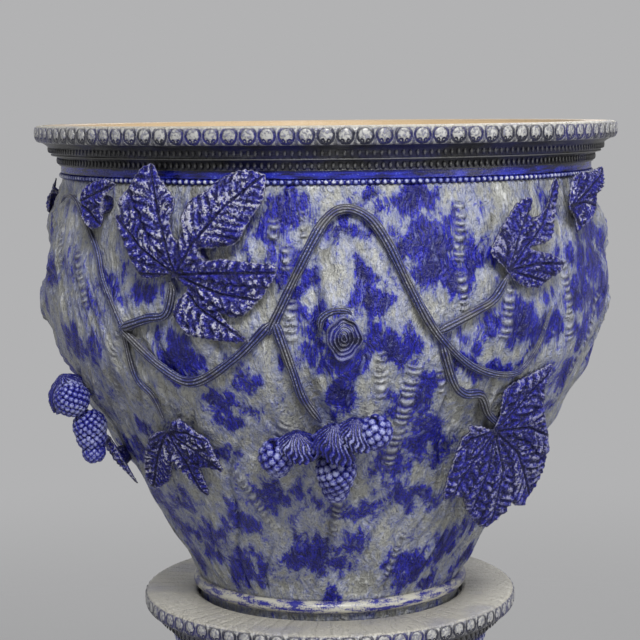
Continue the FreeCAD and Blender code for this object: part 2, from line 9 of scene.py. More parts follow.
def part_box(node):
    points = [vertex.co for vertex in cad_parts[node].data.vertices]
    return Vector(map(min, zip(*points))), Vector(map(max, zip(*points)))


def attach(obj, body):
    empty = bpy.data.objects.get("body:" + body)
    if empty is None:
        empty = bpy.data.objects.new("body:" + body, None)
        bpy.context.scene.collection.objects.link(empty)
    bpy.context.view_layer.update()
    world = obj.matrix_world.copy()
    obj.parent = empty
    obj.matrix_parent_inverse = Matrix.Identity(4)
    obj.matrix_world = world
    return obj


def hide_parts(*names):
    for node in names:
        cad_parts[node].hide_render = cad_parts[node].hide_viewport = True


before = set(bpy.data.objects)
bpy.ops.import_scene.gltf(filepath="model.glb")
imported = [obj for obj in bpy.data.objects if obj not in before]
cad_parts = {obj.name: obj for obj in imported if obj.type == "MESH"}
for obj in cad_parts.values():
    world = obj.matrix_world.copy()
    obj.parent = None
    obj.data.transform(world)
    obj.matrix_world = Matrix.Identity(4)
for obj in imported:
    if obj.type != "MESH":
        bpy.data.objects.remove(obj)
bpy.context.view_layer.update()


# ---------------------------------------------------------------- base of the stand
# A thrown plinth ring of grey stoneware under a band of pressed eggs, a reeded hollow and a row of
# beads. The strips were cast in moulds, laid on wet, brushed with cobalt and fired in salt.

class Wire:
    """A number, colour or vector on its way through the nodes of a glaze."""

    def __init__(self, glaze, socket):
        self.glaze = glaze
        self.socket = socket

    def math(self, operation, first, second=0.0):
        return self.glaze.node("ShaderNodeMath", {"operation": operation}, {0: first, 1: second})

    def __add__(self, other):
        return self.math("ADD", self, other)

    def __sub__(self, other):
        return self.math("SUBTRACT", self, other)

    def __rsub__(self, other):
        return self.math("SUBTRACT", other, self)

    def __mul__(self, other):
        return self.math("MULTIPLY", self, other)

    def __truediv__(self, other):
        return self.math("DIVIDE", self, other)

    def __pow__(self, other):
        return self.math("POWER", self, other)

    def __abs__(self):
        return self.math("ABSOLUTE", self)

    __radd__ = __add__
    __rmul__ = __mul__


class Glaze:
    """One fired finish: the material, its glossy salt skin and the nodes in front of it."""

    def __init__(self, name):
        self.material = bpy.data.materials.new(name)
        self.material.use_nodes = True
        self.shader = self.material.node_tree.nodes["Principled BSDF"]
        self.shader.inputs["IOR"].default_value = 1.52
        self.place = self.node("ShaderNodeTexCoord", {}, {}, "Object")

    def node(self, kind, settings, values, result=0):
        made = self.material.node_tree.nodes.new(kind)
        for name, value in settings.items():
            setattr(made, name, value)
        for name, value in values.items():
            self.put(made.inputs[name], value)
        return Wire(self, made.outputs[result])

    def put(self, socket, value):
        if isinstance(value, Wire):
            self.material.node_tree.links.new(value.socket, socket)
        else:
            socket.default_value = value

    def read(self, name):
        return self.node("ShaderNodeAttribute", {"attribute_name": name}, {}, "Fac")

    def wander(self, scale, reach):
        """Places on the piece, pushed about by up to a reach in metres, for streaks that bend."""
        push = self.node("ShaderNodeTexNoise", {}, {"Vector": self.place, "Scale": scale, "Detail": 2.0},
                         "Color")
        even = self.node("ShaderNodeVectorMath", {"operation": "SUBTRACT"}, {0: push, 1: (0.5, 0.5, 0.5)})
        step = self.node("ShaderNodeVectorMath", {"operation": "SCALE"}, {0: even, "Scale": reach})
        return self.node("ShaderNodeVectorMath", {"operation": "ADD"}, {0: self.place, 1: step})

    def cloud(self, scale, detail=2.0, stretch=(1.0, 1.0, 1.0), rough=0.5, place=None):
        """Cloudy variation from 0 to 1, scale in blobs per metre."""
        place = self.node("ShaderNodeVectorMath", {"operation": "MULTIPLY"},
                          {0: place or self.place, 1: stretch})
        values = {"Vector": place, "Scale": scale, "Detail": detail, "Roughness": rough}
        return self.node("ShaderNodeTexNoise", {}, values, "Fac")

    def rise(self, value, low, high):
        """0 below low, 1 above high, smooth between."""
        settings = {"interpolation_type": "SMOOTHSTEP", "clamp": True}
        return self.node("ShaderNodeMapRange", settings, {"Value": value, "From Min": low, "From Max": high})

    def blend(self, share, first, second):
        settings = {"data_type": "RGBA", "clamp_factor": True}
        return self.node("ShaderNodeMix", settings, {0: share, 6: first, 7: second}, 2)

    def relief(self, height, depth, under=None):
        """Bump from a height of 0 to 1 that stands for a depth in metres."""
        values = {"Strength": 1.0, "Distance": depth, "Height": height}
        if under is not None:
            values["Normal"] = under
        return self.node("ShaderNodeBump", {}, values)

    def finish(self, colour, roughness, normal):
        self.put(self.shader.inputs["Base Color"], colour)
        self.put(self.shader.inputs["Roughness"], roughness)
        self.put(self.shader.inputs["Normal"], normal)
        return self.material


def fired(red, green, blue):
    """Shader colour of a glaze that looks like these 8-bit values in plain light."""
    return tuple(((c / 255 + 0.055) / 1.055) ** 2.4 if c > 10 else c / 3294.6
                 for c in (red, green, blue)) + (1.0,)


def dress(piece, glaze, body, slot, *nodes):
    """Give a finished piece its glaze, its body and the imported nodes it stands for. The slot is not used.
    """
    piece.data.materials.clear()
    piece.data.materials.append(glaze)
    piece.data.polygons.foreach_set("use_smooth", [True] * len(piece.data.polygons))
    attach(piece, body)
    if nodes:
        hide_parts(*nodes)
    return piece


def clay(name, points, faces, marks=None, weld=False):
    """A closed piece of clay from its points, with named marks that its glaze reads."""
    mesh = bpy.data.meshes.new(name)
    mesh.from_pydata([tuple(p) for p in points], [], faces)
    for mark, values in (marks or {}).items():
        layer = mesh.attributes.new(mark, "FLOAT", "POINT")
        layer.data.foreach_set("value", np.asarray(values, np.float32))
    form = bmesh.new()
    form.from_mesh(mesh)
    if weld:
        bmesh.ops.remove_doubles(form, verts=form.verts, dist=0.000001)
    bmesh.ops.recalc_face_normals(form, faces=form.faces)
    form.to_mesh(mesh)
    form.free()
    piece = bpy.data.objects.new(name, mesh)
    bpy.context.scene.collection.objects.link(piece)
    return piece


def thrown(name, section, columns, marks=None):
    """A ring turned on the wheel from a closed section of radius and height."""
    angles = np.linspace(0, 2 * math.pi, columns, endpoint=False)
    points = [(r * math.sin(a), -r * math.cos(a), z) for a in angles for r, z in section]
    size = len(section)
    faces = []
    for i in range(columns):
        for j in range(size):
            a, b = i * size, (i + 1) % columns * size
            k = (j + 1) % size
            faces.append((a + j, b + j, b + k, a + k))
    return clay(name, points, faces, marks)


def press_unit(name, width, height, depth, around, rows, crown_power=1.0):
    """One small round-topped lump, flat behind, facing +X, with its crown marked."""
    points = []
    crown = []
    for row in range(rows):
        lift = row / rows
        reach = math.cos(lift * math.pi / 2)
        for step in range(around):
            turn = 2 * math.pi * step / around
            points.append((depth * math.sin(lift * math.pi / 2), width / 2 * reach * math.cos(turn),
                           height / 2 * reach * math.sin(turn)))
            crown.append(lift ** crown_power)
    points.append((depth, 0, 0))
    crown.append(1.0)
    points.append((-depth * 0.3, 0, 0))
    crown.append(0.0)
    tip, back = len(points) - 2, len(points) - 1
    faces = []
    for step in range(around):
        after = (step + 1) % around
        for row in range(rows - 1):
            faces.append((row * around + step, row * around + after, (row + 1) * around + after,
                          (row + 1) * around + step))
        faces.append(((rows - 1) * around + step, (rows - 1) * around + after, tip))
        faces.append((after, step, back))
    return clay(name, points, faces, {"crown": crown})


def tree_input(modifier, name, value):
    for item in modifier.node_group.interface.items_tree:
        if item.name == name and item.in_out == "INPUT":
            modifier[item.identifier] = value


def plain(piece, name):
    """The modified piece as a plain mesh of its own, the working one removed."""
    graph = bpy.context.evaluated_depsgraph_get()
    mesh = bpy.data.meshes.new_from_object(piece.evaluated_get(graph))
    bpy.data.objects.remove(piece)
    made = bpy.data.objects.new(name, mesh)
    bpy.context.scene.collection.objects.link(made)
    return made


def node_tree(name, inputs, output, kinds, links):
    """A tree of geometry nodes: its inputs and output, its nodes with their settings, and its links."""
    tree = bpy.data.node_groups.new(name, "GeometryNodeTree")
    for label, kind in inputs:
        tree.interface.new_socket(label, in_out="INPUT", socket_type="NodeSocket" + kind)
    tree.interface.new_socket(output, in_out="OUTPUT", socket_type="NodeSocketGeometry")
    nodes = {"in": tree.nodes.new("NodeGroupInput"), "out": tree.nodes.new("NodeGroupOutput")}
    for label, kind, settings in kinds:
        nodes[label] = tree.nodes.new(kind)
        for setting, value in settings.items():
            setattr(nodes[label], setting, value)
    for source, leaving, target, entering in links:
        tree.links.new(nodes[source].outputs[leaving], nodes[target].inputs[entering])
    return tree, nodes


row_inputs = (("Unit", "Object"), ("Count", "Int"), ("Ring Radius", "Float"), ("Height", "Float"),
              ("Start", "Float"),
              ("Glaze", "Material"))
row_kinds = (("ring", "GeometryNodeMeshCircle", {}), ("lift", "GeometryNodeTransform", {}),
             ("spot", "ShaderNodeCombineXYZ", {}), ("turn", "ShaderNodeCombineXYZ", {}),
             ("unit", "GeometryNodeObjectInfo", {}), ("here", "GeometryNodeInputPosition", {}),
             ("flat", "ShaderNodeVectorMath", {"operation": "MULTIPLY"}),
             ("face", "FunctionNodeAlignRotationToVector", {"axis": "X", "pivot_axis": "Z"}),
             ("copy", "GeometryNodeInstanceOnPoints", {}), ("real", "GeometryNodeRealizeInstances", {}),
             ("skin", "GeometryNodeSetMaterial", {}))
row_links = (("in", "Count", "ring", "Vertices"), ("in", "Ring Radius", "ring", "Radius"),
             ("ring", "Mesh", "lift", "Geometry"),
             ("in", "Height", "spot", "Z"), ("spot", 0, "lift", "Translation"), ("in", "Start", "turn", "Z"),
             ("turn", 0, "lift", "Rotation"), ("in", "Unit", "unit", "Object"), ("here", 0, "flat", 0),
             ("flat", 0, "face", "Vector"), ("lift", 0, "copy", "Points"),
             ("unit", "Geometry", "copy", "Instance"),
             ("face", 0, "copy", "Rotation"), ("copy", 0, "real", 0), ("real", 0, "skin", "Geometry"),
             ("in", "Glaze", "skin", "Material"), ("skin", 0, "out", 0))
row_tree, row_nodes = node_tree("pressed_row", row_inputs, "Row", row_kinds, row_links)
row_nodes["flat"].inputs[1].default_value = (1, 1, 0)


def row_round(name, unit, count, radius, height, glaze, start=0.0):
    """Copies of a pressed unit evenly round the axis, facing outwards."""
    carrier = clay(name + "_row", [(0, 0, 0)], [])
    modifier = carrier.modifiers.new("row", "NODES")
    modifier.node_group = row_tree
    for label, value in (("Unit", unit), ("Count", count), ("Ring Radius", radius), ("Height", height),
                         ("Start", start), ("Glaze", glaze)):
        tree_input(modifier, label, value)
    made = plain(carrier, name)
    bpy.data.objects.remove(unit)
    return made


def egg_finish(name, count, middle, tall):
    """Pressed eggs outlined in cobalt, drawn round the axis: an oval line, two small rings and the
    darker ground between neighbours."""
    glaze = Glaze(name)
    across, along, upward = (glaze.node("ShaderNodeSeparateXYZ", {}, {0: glaze.place}, part)
                             for part in range(3))
    level = (upward - middle) / tall
    turn = across.math("ARCTAN2", across, 0.0 - along) * (count / (2 * math.pi))
    wobble = glaze.cloud(300, 2.0)
    side = turn.math("FRACT", turn + 0.5) - 0.5 + (wobble - 0.5) * 0.12
    height = level + (wobble - 0.5) * 0.08

    def ring(x, y, wide, high, line):
        reach = ((abs(side - x) / wide) ** 2.0 + (abs(height - y) / high) ** 2.0) ** 0.5
        return 1.0 - glaze.rise(abs(reach - 1.0), line * 0.4, line)

    oval = ring(0.0, 0.01, 0.41, 0.43, 0.24) * (1.0 - glaze.rise(height, 0.05, 0.45) * 0.45)
    left = ring(-0.16, -0.31, 0.085, 0.11, 0.60)
    right = ring(0.16, -0.31, 0.085, 0.11, 0.60)
    between = glaze.rise(abs(side), 0.36, 0.46) * (1.0 - glaze.rise(height, -0.20, 0.30))
    speck = glaze.cloud(900, 3.0)
    patch = glaze.cloud(22, 2.0)
    petals = glaze.rise(glaze.cloud(480, 3.0, rough=0.65), 0.46, 0.62)
    ink = oval.math("MAXIMUM", oval, left.math("MAXIMUM", left, right))
    ink = ink.math("MAXIMUM", ink, between * 0.7)
    ink = ink * (0.75 + 0.5 * speck)
    ground = glaze.blend(patch, fired(160, 160, 160), fired(198, 197, 192))
    ground = glaze.blend(petals * 0.72, ground, glaze.blend(patch, fired(96, 96, 150), fired(124, 126, 138)))
    blue = glaze.blend(glaze.rise(patch, 0.40, 0.60), fired(20, 20, 110), fired(26, 28, 52))
    colour = glaze.blend(ink, ground, blue)
    lip = glaze.blend(speck, fired(180, 176, 164), fired(212, 208, 196))
    lip = glaze.blend(glaze.rise(patch + (speck - 0.5) * 0.6, 0.50, 0.72) * 0.35, lip, fired(110, 116, 160))
    colour = glaze.blend(glaze.rise(level, 0.36, 0.44), colour, lip)
    normal = glaze.relief(petals, 0.0006)
    normal = glaze.relief(1.0 - ink, 0.0010, normal)
    return glaze.finish(colour, 0.22 + 0.2 * speck, normal)


def bead_finish(name):
    glaze = Glaze(name)
    crown = glaze.read("crown")
    speck = glaze.cloud(700, 2.0)
    patch = glaze.cloud(38, 2.0)
    # Pale on the crowns of the beads: partly glaze worn thin there, partly painted highlight.
    pale = glaze.rise(crown + (speck - 0.5) * 1.0, 0.42, 0.85)
    blue = glaze.blend(patch, fired(18, 20, 84), fired(36, 42, 150))
    top = glaze.blend(glaze.rise(patch, 0.38, 0.62), fired(132, 140, 200), fired(204, 208, 222))
    colour = glaze.blend(pale, blue, top)
    return glaze.finish(colour, 0.22 + 0.15 * speck, glaze.relief(speck, 0.0002))


def cornice_finish(name):
    """Nearly black: cobalt that ran into the hollows, darkened further with painted shade, worn to grey on
    the tops of the reeds.
    """
    glaze = Glaze(name)
    crown = glaze.read("crown")
    speck = glaze.cloud(800, 3.0)
    patch = glaze.cloud(26, 3.0, (1, 1, 2))
    lines = glaze.cloud(260, 3.0, (0.12, 0.12, 1.6), 0.6)
    # The near-black grey is partly dark cobalt and partly painted shade.
    cobalt_and_shade = glaze.blend(glaze.rise(patch, 0.45, 0.65), fired(26, 26, 32), fired(18, 20, 72))
    worn = glaze.rise(crown + (speck - 0.5) * 1.1 + (patch - 0.5) * 0.7, 0.25, 1.1)
    colour = glaze.blend(worn * 0.62, cobalt_and_shade, fired(116, 116, 112))
    colour = glaze.blend(glaze.rise(lines, 0.52, 0.70) * 0.5, colour, fired(96, 97, 98))
    normal = glaze.relief(speck, 0.0004)
    return glaze.finish(colour, 0.26 + 0.2 * speck, glaze.relief(lines, 0.0006, normal))


def moulding_finish(name):
    """Smooth turned clay under thin cobalt, with grey showing through where the brush ran dry."""
    glaze = Glaze(name)
    streak = glaze.cloud(60, 4.0, (1, 1, 5), 0.6)
    speck = glaze.cloud(800, 3.0)
    wash = glaze.rise(streak + (speck - 0.5) * 0.5, 0.40, 0.62)
    ground = glaze.blend(speck, fired(164, 162, 150), fired(200, 198, 186))
    blue = glaze.blend(streak, fired(20, 20, 76), fired(40, 42, 150))
    colour = glaze.blend(wash, ground, blue)
    return glaze.finish(colour, 0.22 + 0.2 * speck, glaze.relief(speck, 0.0003))


moulding_glaze = moulding_finish("moulding_glaze")
bead_glaze = bead_finish("bead_glaze")
cornice_glaze = cornice_finish("cornice_glaze")


def band_section(outer, low, high, depth, rounding, recess):
    """Section of a band whose ground lies a little behind the crowns of its eggs."""
    face = outer - recess
    section = [(outer - depth, low), (face - rounding, low)]
    for step in range(1, 5):
        turn = math.pi / 2 * step / 4
        section.append((face - rounding + rounding * math.sin(turn),
                        low + rounding - rounding * math.cos(turn)))
    for step in range(5):
        turn = math.pi / 2 * step / 4
        section.append((face - rounding + rounding * math.cos(turn),
                        high - rounding + rounding * math.sin(turn)))
    section.append((outer - depth, high))
    return section


def egg_row(name, count, outer, middle, tall, glaze):
    """Crowned eggs with a rim of petals on the band's face."""
    pitch = 2 * math.pi * outer / count
    unit = press_unit(name + "_unit", pitch * 0.66, tall * 0.72, 0.0009, 12, 3)
    return row_round(name, unit, count, outer - 0.0014, middle + tall * 0.05, glaze, -math.pi / 2)


def egg_band(prefix, body, count, depth, seat=()):
    """A band of pressed eggs. Round a seat, the points of the seat close its section."""
    low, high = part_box(prefix + "_egg_band")
    middle, tall = (low.z + high.z) / 2, high.z - low.z
    glaze = egg_finish(prefix + "_egg_glaze", count, middle, tall)
    section = band_section(high.x, low.z, high.z, depth, 0.0035, 0.0012)
    if seat:
        section = [(seat[-1][0], low.z)] + section[1:-1] + list(seat)
    band = thrown(prefix + "_band", section, 3 * count)
    dress(band, glaze, body, "egg_band_glaze", prefix + "_egg_band")
    eggs = egg_row(prefix + "_eggs", count, high.x, middle, tall, glaze)
    dress(eggs, glaze, body, "egg_band_glaze")


def bead_ring(prefix, body, under, faces, edge, columns, bead_size, count, radius):
    """A flat strip of clay with a row of beads on it."""
    low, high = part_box(prefix + "_bead_ring")
    behind, front = faces
    section = [(behind, low.z), (front, low.z + edge), (front, high.z - edge), (behind, high.z)]
    strip = thrown(prefix + "_bead_strip", section, columns)
    dress(strip, under, body, "bead_glaze", prefix + "_bead_ring")
    bead = press_unit(prefix + "_bead_unit", *bead_size, 8, 3)
    beads = row_round(prefix + "_beads", bead, count, radius, (low.z + high.z) / 2, bead_glaze)
    dress(beads, bead_glaze, body, "bead_glaze")


def reed_rows(prefix, body, reed_size, count, rows):
    """Rows of reeds in a hollow moulding, each at a radius and a share of the moulding's height."""
    low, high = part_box(prefix + "_reeded_cavetto")
    for level, (radius, share) in enumerate(rows):
        reed = press_unit(prefix + "_reed_unit", *reed_size, 6, 2)
        height = low.z + (high.z - low.z) * share
        reeds = row_round("%s_reeds_%d" % (prefix, level), reed, count, radius, height, cornice_glaze,
                          0.02 * level)
        dress(reeds, cornice_glaze, body, "cornice_glaze")


def glaze_node(name, glaze):
    """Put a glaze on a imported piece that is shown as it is."""
    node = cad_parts[name]
    node.data.materials.clear()
    node.data.materials.append(glaze)


egg_band("base", "stand", 84, 0.006)
bead_ring("base", "stand", moulding_glaze, (0.150, 0.1515), 0.0005, 200, (0.0080, 0.0086, 0.0030), 112,
          0.1510)
reed_rows("base", "stand", (0.0040, 0.0078, 0.0012), 160, ((0.1645, 0.30), (0.1575, 0.70)))
glaze_node("stand_base", moulding_glaze)
glaze_node("base_reeded_cavetto", cornice_glaze)


# ---------------------------------------------------------------- trunk of the stand
# The hollow thrown trunk. Its face is combed and pinched into bark while the clay is soft, then
# washed with cobalt in loose brush strokes that leave the grey body bare between them.

def grain(angle, height, seed, fewest, most, drift, waves=14):
    """Streaks that run up the wall and close on themselves round the axis, about -1 to 1."""
    pick = np.random.default_rng(seed)
    total = 0.0
    for _ in range(waves):
        turns = int(pick.integers(fewest, most))
        total = total + np.cos(turns * angle + pick.normal(0, drift) * height + pick.uniform(0, 2 * math.pi))
    return total / math.sqrt(waves * 0.7)


def soft(value, low, high):
    share = np.clip((value - low) / (high - low), 0, 1)
    return share * share * (3 - 2 * share)


def ladder_marks(angle, height, radius, ladders):
    """Columns of short ripples pressed across the bark: where they are, and the turns of their rungs."""
    cover = np.zeros_like(angle)
    rungs = np.zeros_like(angle)
    for start_angle, start_height, end_angle, end_height, width in ladders:
        x0, x1 = math.radians(start_angle) * radius, math.radians(end_angle) * radius
        run = math.hypot(x1 - x0, end_height - start_height)
        dx, dz = (x1 - x0) / run, (end_height - start_height) / run
        px, pz = angle * radius - x0, height - start_height
        along = px * dx + pz * dz
        off = np.abs(px * dz - pz * dx)
        here = (1 - soft(off, width * 0.28, width * 0.54)) * soft(along, -0.002, 0.002)
        here = here * (1 - soft(along, run - 0.002, run + 0.002))
        near = (off < width) & (along > -0.008) & (along < run + 0.008) & (cover == 0)
        turns = (along + off * 0.2) / 0.0054 + 0.16 * np.sin(along * 340)
        rungs = np.where((here > cover) | near, turns, rungs)
        cover = np.maximum(cover, here)
    return cover, rungs


def wash_marks(angle, height, washes):
    """Brushed patches of cobalt, each a ragged oval round a spot."""
    sway = angle + 0.018 * np.sin(140 * height + 9 * angle) + 0.010 * np.sin(330 * height - 31 * angle)
    rise = height + 0.0030 * np.sin(47 * angle + 60 * height) + 0.0018 * np.sin(113 * angle)
    wash = np.zeros_like(angle)
    for spot, level, wide, tall, strength in washes:
        reach = np.hypot((sway - math.radians(spot)) / math.radians(wide * 1.5),
                         (rise - level) / (tall * 1.55))
        wash = np.maximum(wash, strength * (1 - soft(reach, 0.30, 1.20)))
    return wash


def bark_finish(name):
    glaze = Glaze(name)
    brushed = glaze.read("wash")
    crease = glaze.read("crease")
    ladder = glaze.read("ladder")
    turns = glaze.read("rung") * (2 * math.pi)
    inside = glaze.read("inside")
    bent = glaze.wander(42, 0.016)
    broad = glaze.cloud(26, 4.0, (1, 1, 0.6), 0.6)
    dabs = glaze.cloud(80, 6.0, (1, 1, 0.50), 0.66)
    comb = glaze.cloud(240, 4.0, (1, 1, 0.17), 0.62, bent)
    hair = glaze.cloud(720, 3.0, (1, 1, 0.25), 0.6, bent)
    dimple = glaze.cloud(210, 3.0, rough=0.6)
    speck = glaze.cloud(800, 3.0)
    rung = ladder * (0.5 + 0.5 * turns.math("COSINE", turns)) * glaze.rise(dimple, 0.24, 0.46)
    ground = glaze.blend(broad, fired(134, 135, 130), fired(202, 202, 196))
    ground = glaze.blend(glaze.rise(comb, 0.50, 0.64) * 0.7, ground, fired(230, 231, 228))
    ground = glaze.blend(glaze.rise(hair, 0.52, 0.66) * 0.6, ground, fired(92, 94, 100))
    ground = glaze.blend(glaze.rise(dimple, 0.56, 0.70) * 0.4, ground, fired(124, 122, 112))
    ground = glaze.blend(crease * 0.8, ground, fired(80, 78, 72))
    load = (0.13 + brushed * 1.05 + (dabs - 0.5) * 2.6 + (comb - 0.5) * 1.3 + (broad - 0.5) * 0.9
            + (hair - 0.5) * 0.7)
    haze = glaze.rise(load, -0.20, 0.48)
    ground = glaze.blend(haze * 0.54, ground, glaze.blend(dimple, fired(84, 98, 168), fired(118, 132, 190)))
    wash = glaze.rise(load, 0.34, 0.74)
    blue = glaze.blend(glaze.rise(hair, 0.38, 0.62), fired(6, 6, 84), fired(34, 36, 182))
    blue = glaze.blend(glaze.rise(load, 0.85, 1.35) * 0.8, blue, fired(10, 10, 84))
    blue = glaze.blend(crease * 0.7, blue, fired(8, 8, 48))
    colour = glaze.blend(wash * (1.0 - rung * 0.7), ground, blue)
    colour = glaze.blend(glaze.rise(comb, 0.57, 0.70) * wash * 0.42, colour, fired(142, 150, 208))
    colour = glaze.blend(rung * 0.55, colour, fired(204, 206, 208))
    colour = glaze.blend(ladder * (1.0 - rung) * 0.35, colour, fired(62, 62, 110))
    colour = glaze.blend(inside, colour, glaze.blend(broad, fired(196, 168, 128), fired(216, 192, 156)))
    bare = 1.0 - inside
    normal = glaze.relief(speck, 0.0006)
    normal = glaze.relief(hair * bare, 0.0011, normal)
    normal = glaze.relief(dimple * bare, 0.0021, normal)
    normal = glaze.relief(comb * bare, 0.0034, normal)
    normal = glaze.relief(rung, 0.0018, normal)
    return glaze.finish(colour, 0.16 + 0.28 * speck, normal)


bark_glaze = bark_finish("bark_glaze")
trunk_low, trunk_high = 0.056, 0.612
trunk_waist, trunk_waist_height = 0.094, 0.330
trunk_rows = 200
trunk_columns = 400


def trunk_radius(height):
    """Outer radius of the trunk: two hollow curves that meet at the waist."""
    height = np.asarray(height, float)
    up = np.where(height > trunk_waist_height, trunk_high, trunk_low) - trunk_waist_height
    flare = np.where(height > trunk_waist_height, 0.028, 0.052)
    size = (up ** 2 + flare ** 2) / (2 * flare)
    return trunk_waist + size - np.sqrt(size ** 2 - (height - trunk_waist_height) ** 2)


def barked(name, radius_at, low, high, rows, columns, inner, relief_at, inner_marks):
    """A thrown wall whose outer face is worked into bark and whose inner face is plain."""
    heights = np.linspace(high, low, rows)
    angles = np.linspace(-math.pi, math.pi, columns, endpoint=False)
    angle, height = np.meshgrid(angles, heights, indexing="ij")
    relief, marks = relief_at(angle, height)
    radius = radius_at(angle, height) + relief
    outer = np.stack([radius * np.sin(angle), -radius * np.cos(angle), height], -1)
    back = np.array([[(r * math.sin(a), -r * math.cos(a), z) for r, z in inner] for a in angles])
    points = np.concatenate([outer, back], 1)
    size = points.shape[1]
    full = {}
    for mark in ("wash", "crease", "ladder", "rung", "inside"):
        side = np.zeros((columns, size))
        if mark in marks:
            side[:, :rows] = marks[mark]
        if mark == "inside":
            side[:, rows:] = np.array(inner_marks)[None, :]
        full[mark] = side.ravel()
    flat = points.reshape(-1, 3)
    faces = []
    for i in range(columns):
        a, b = i * size, (i + 1) % columns * size
        for j in range(size):
            k = (j + 1) % size
            if points[0, j, :2].any() or points[0, k, :2].any():
                faces.append((a + j, a + k, b + k, b + j))
    return clay(name, flat, faces, full, weld=True)


trunk_ladders = [(-8, 0.500, -6, 0.440, 0.009), (30, 0.430, 26, 0.360, 0.008),
                 (-60, 0.350, -64, 0.290, 0.010),
                 (75, 0.540, 70, 0.470, 0.008), (12, 0.180, 8, 0.120, 0.010), (-35, 0.560, -38, 0.510, 0.007),
                 (120, 0.420, 116, 0.340, 0.009), (-130, 0.480, -126, 0.400, 0.009),
                 (170, 0.250, 165, 0.170, 0.009),
                 (45, 0.560, 42, 0.500, 0.008), (20, 0.290, 18, 0.235, 0.009),
                 (-20, 0.330, -24, 0.260, 0.008),
                 (95, 0.300, 92, 0.220, 0.010), (-100, 0.260, -96, 0.180, 0.010),
                 (150, 0.560, 146, 0.490, 0.009)]
pick = np.random.default_rng(11)
trunk_washes = [(pick.uniform(-165, 165), pick.uniform(0.07, 0.60), pick.uniform(6, 13),
                 pick.uniform(0.012, 0.034),
                 pick.uniform(0.6, 1.0)) for _ in range(90)]


def trunk_relief(angle, height):
    sway = angle + 0.22 * np.sin(9 * height) + 0.05 * np.sin(31 * height + 2 * angle)
    folds = grain(sway, height, 3, 4, 15, 9.0)
    lumps = grain(angle, height, 4, 3, 12, 55.0)
    ridges = grain(sway, height, 5, 24, 60, 14.0)
    crease = np.exp(-(folds / 0.16) ** 2) * soft(lumps, -1.2, 0.4)
    cover, rungs = ladder_marks(angle, height, 0.100, trunk_ladders)
    relief = 0.0010 * lumps + 0.0006 * ridges * (1 - cover) - 0.0020 * crease + 0.0008 * cover - 0.0006
    edge = soft(height, 0.056, 0.068) * (1 - soft(height, 0.600, 0.612))
    wash = wash_marks(angle, height, trunk_washes)
    return np.clip(relief * edge, -0.004, 0.0016), {"wash": wash, "crease": crease * 0.9, "ladder": cover,
                                                    "rung": rungs}


trunk_inner = [(float(trunk_radius(z)) - 0.013, z) for z in np.linspace(trunk_low, trunk_high, 14)]
trunk = barked("trunk_bark", lambda a, z: trunk_radius(z), trunk_low, trunk_high, trunk_rows, trunk_columns,
               trunk_inner, trunk_relief, [1.0] * len(trunk_inner))
dress(trunk, bark_glaze, "stand", "bark_glaze", "stand_trunk")


# ---------------------------------------------------------------- cap of the stand
# A thrown plate with a skirt that grips the trunk. Its egg band stands a little above the seat, so
# the bowl's foot can't slide off.

seat_height = 0.650
seat_edge = 0.1065
seat_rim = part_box("cap_egg_band")[1].z
seat = ((seat_edge + 0.0035, seat_rim), (seat_edge + 0.001, seat_rim - 0.001), (seat_edge, seat_rim - 0.0035),
        (seat_edge, seat_height), (0.138, seat_height))
egg_band("cap", "stand", 71, 0.012, seat)
bead_ring("cap", "stand", moulding_glaze, (0.123, 0.1245), 0.0005, 180, (0.0080, 0.0086, 0.0030), 92, 0.1240)
reed_rows("cap", "stand", (0.0040, 0.0076, 0.0012), 140, ((0.1385, 0.72), (0.1305, 0.30)))
glaze_node("stand_cap", moulding_glaze)
glaze_node("cap_reeded_cavetto", cornice_glaze)


# ---------------------------------------------------------------- ornament of the stand
# Rolled strands of vine, leaves pressed in moulds and a small bunch of fruit, stuck on to the trunk
# with slip in the same manner as on the bowl.

class Spot:
    """A place on a wall with its own across, upward and outward lines, as the potter sees it."""

    def __init__(self, angle, height, radius, lean=0.0, back=False):
        turn, tip = math.radians(angle), math.radians(lean)
        outward = Vector((math.sin(turn), -math.cos(turn), 0))
        self.origin = outward * radius + Vector((0, 0, height))
        self.across = Vector((math.cos(turn), math.sin(turn), 0))
        self.normal = outward * math.cos(tip) + Vector((0, 0, math.sin(tip)))
        self.upward = Vector((0, 0, math.cos(tip))) - outward * math.sin(tip)
        self.back = back

    def at(self, x, y, depth=0.0):
        point = self.origin + self.across * x + self.upward * y + self.normal * depth
        return Vector((point.x, -point.y, point.z)) if self.back else point


def smooth_path(stations, spacing=0.003):
    """A soft curve through stations, as evenly spaced points."""
    points = np.array(stations, float)
    points = np.vstack([2 * points[0] - points[1], points, 2 * points[-1] - points[-2]])
    path = []
    for a, b, c, d in zip(points, points[1:], points[2:], points[3:]):
        steps = max(2, int(np.linalg.norm(c - b) / spacing))
        for t in np.linspace(0, 1, steps, endpoint=False):
            path.append(0.5 * (2 * b + (c - a) * t + (2 * a - 5 * b + 4 * c - d) * t ** 2
                               + (3 * b - a - 3 * c + d) * t ** 3))
    path.append(points[-2])
    return np.array(path)


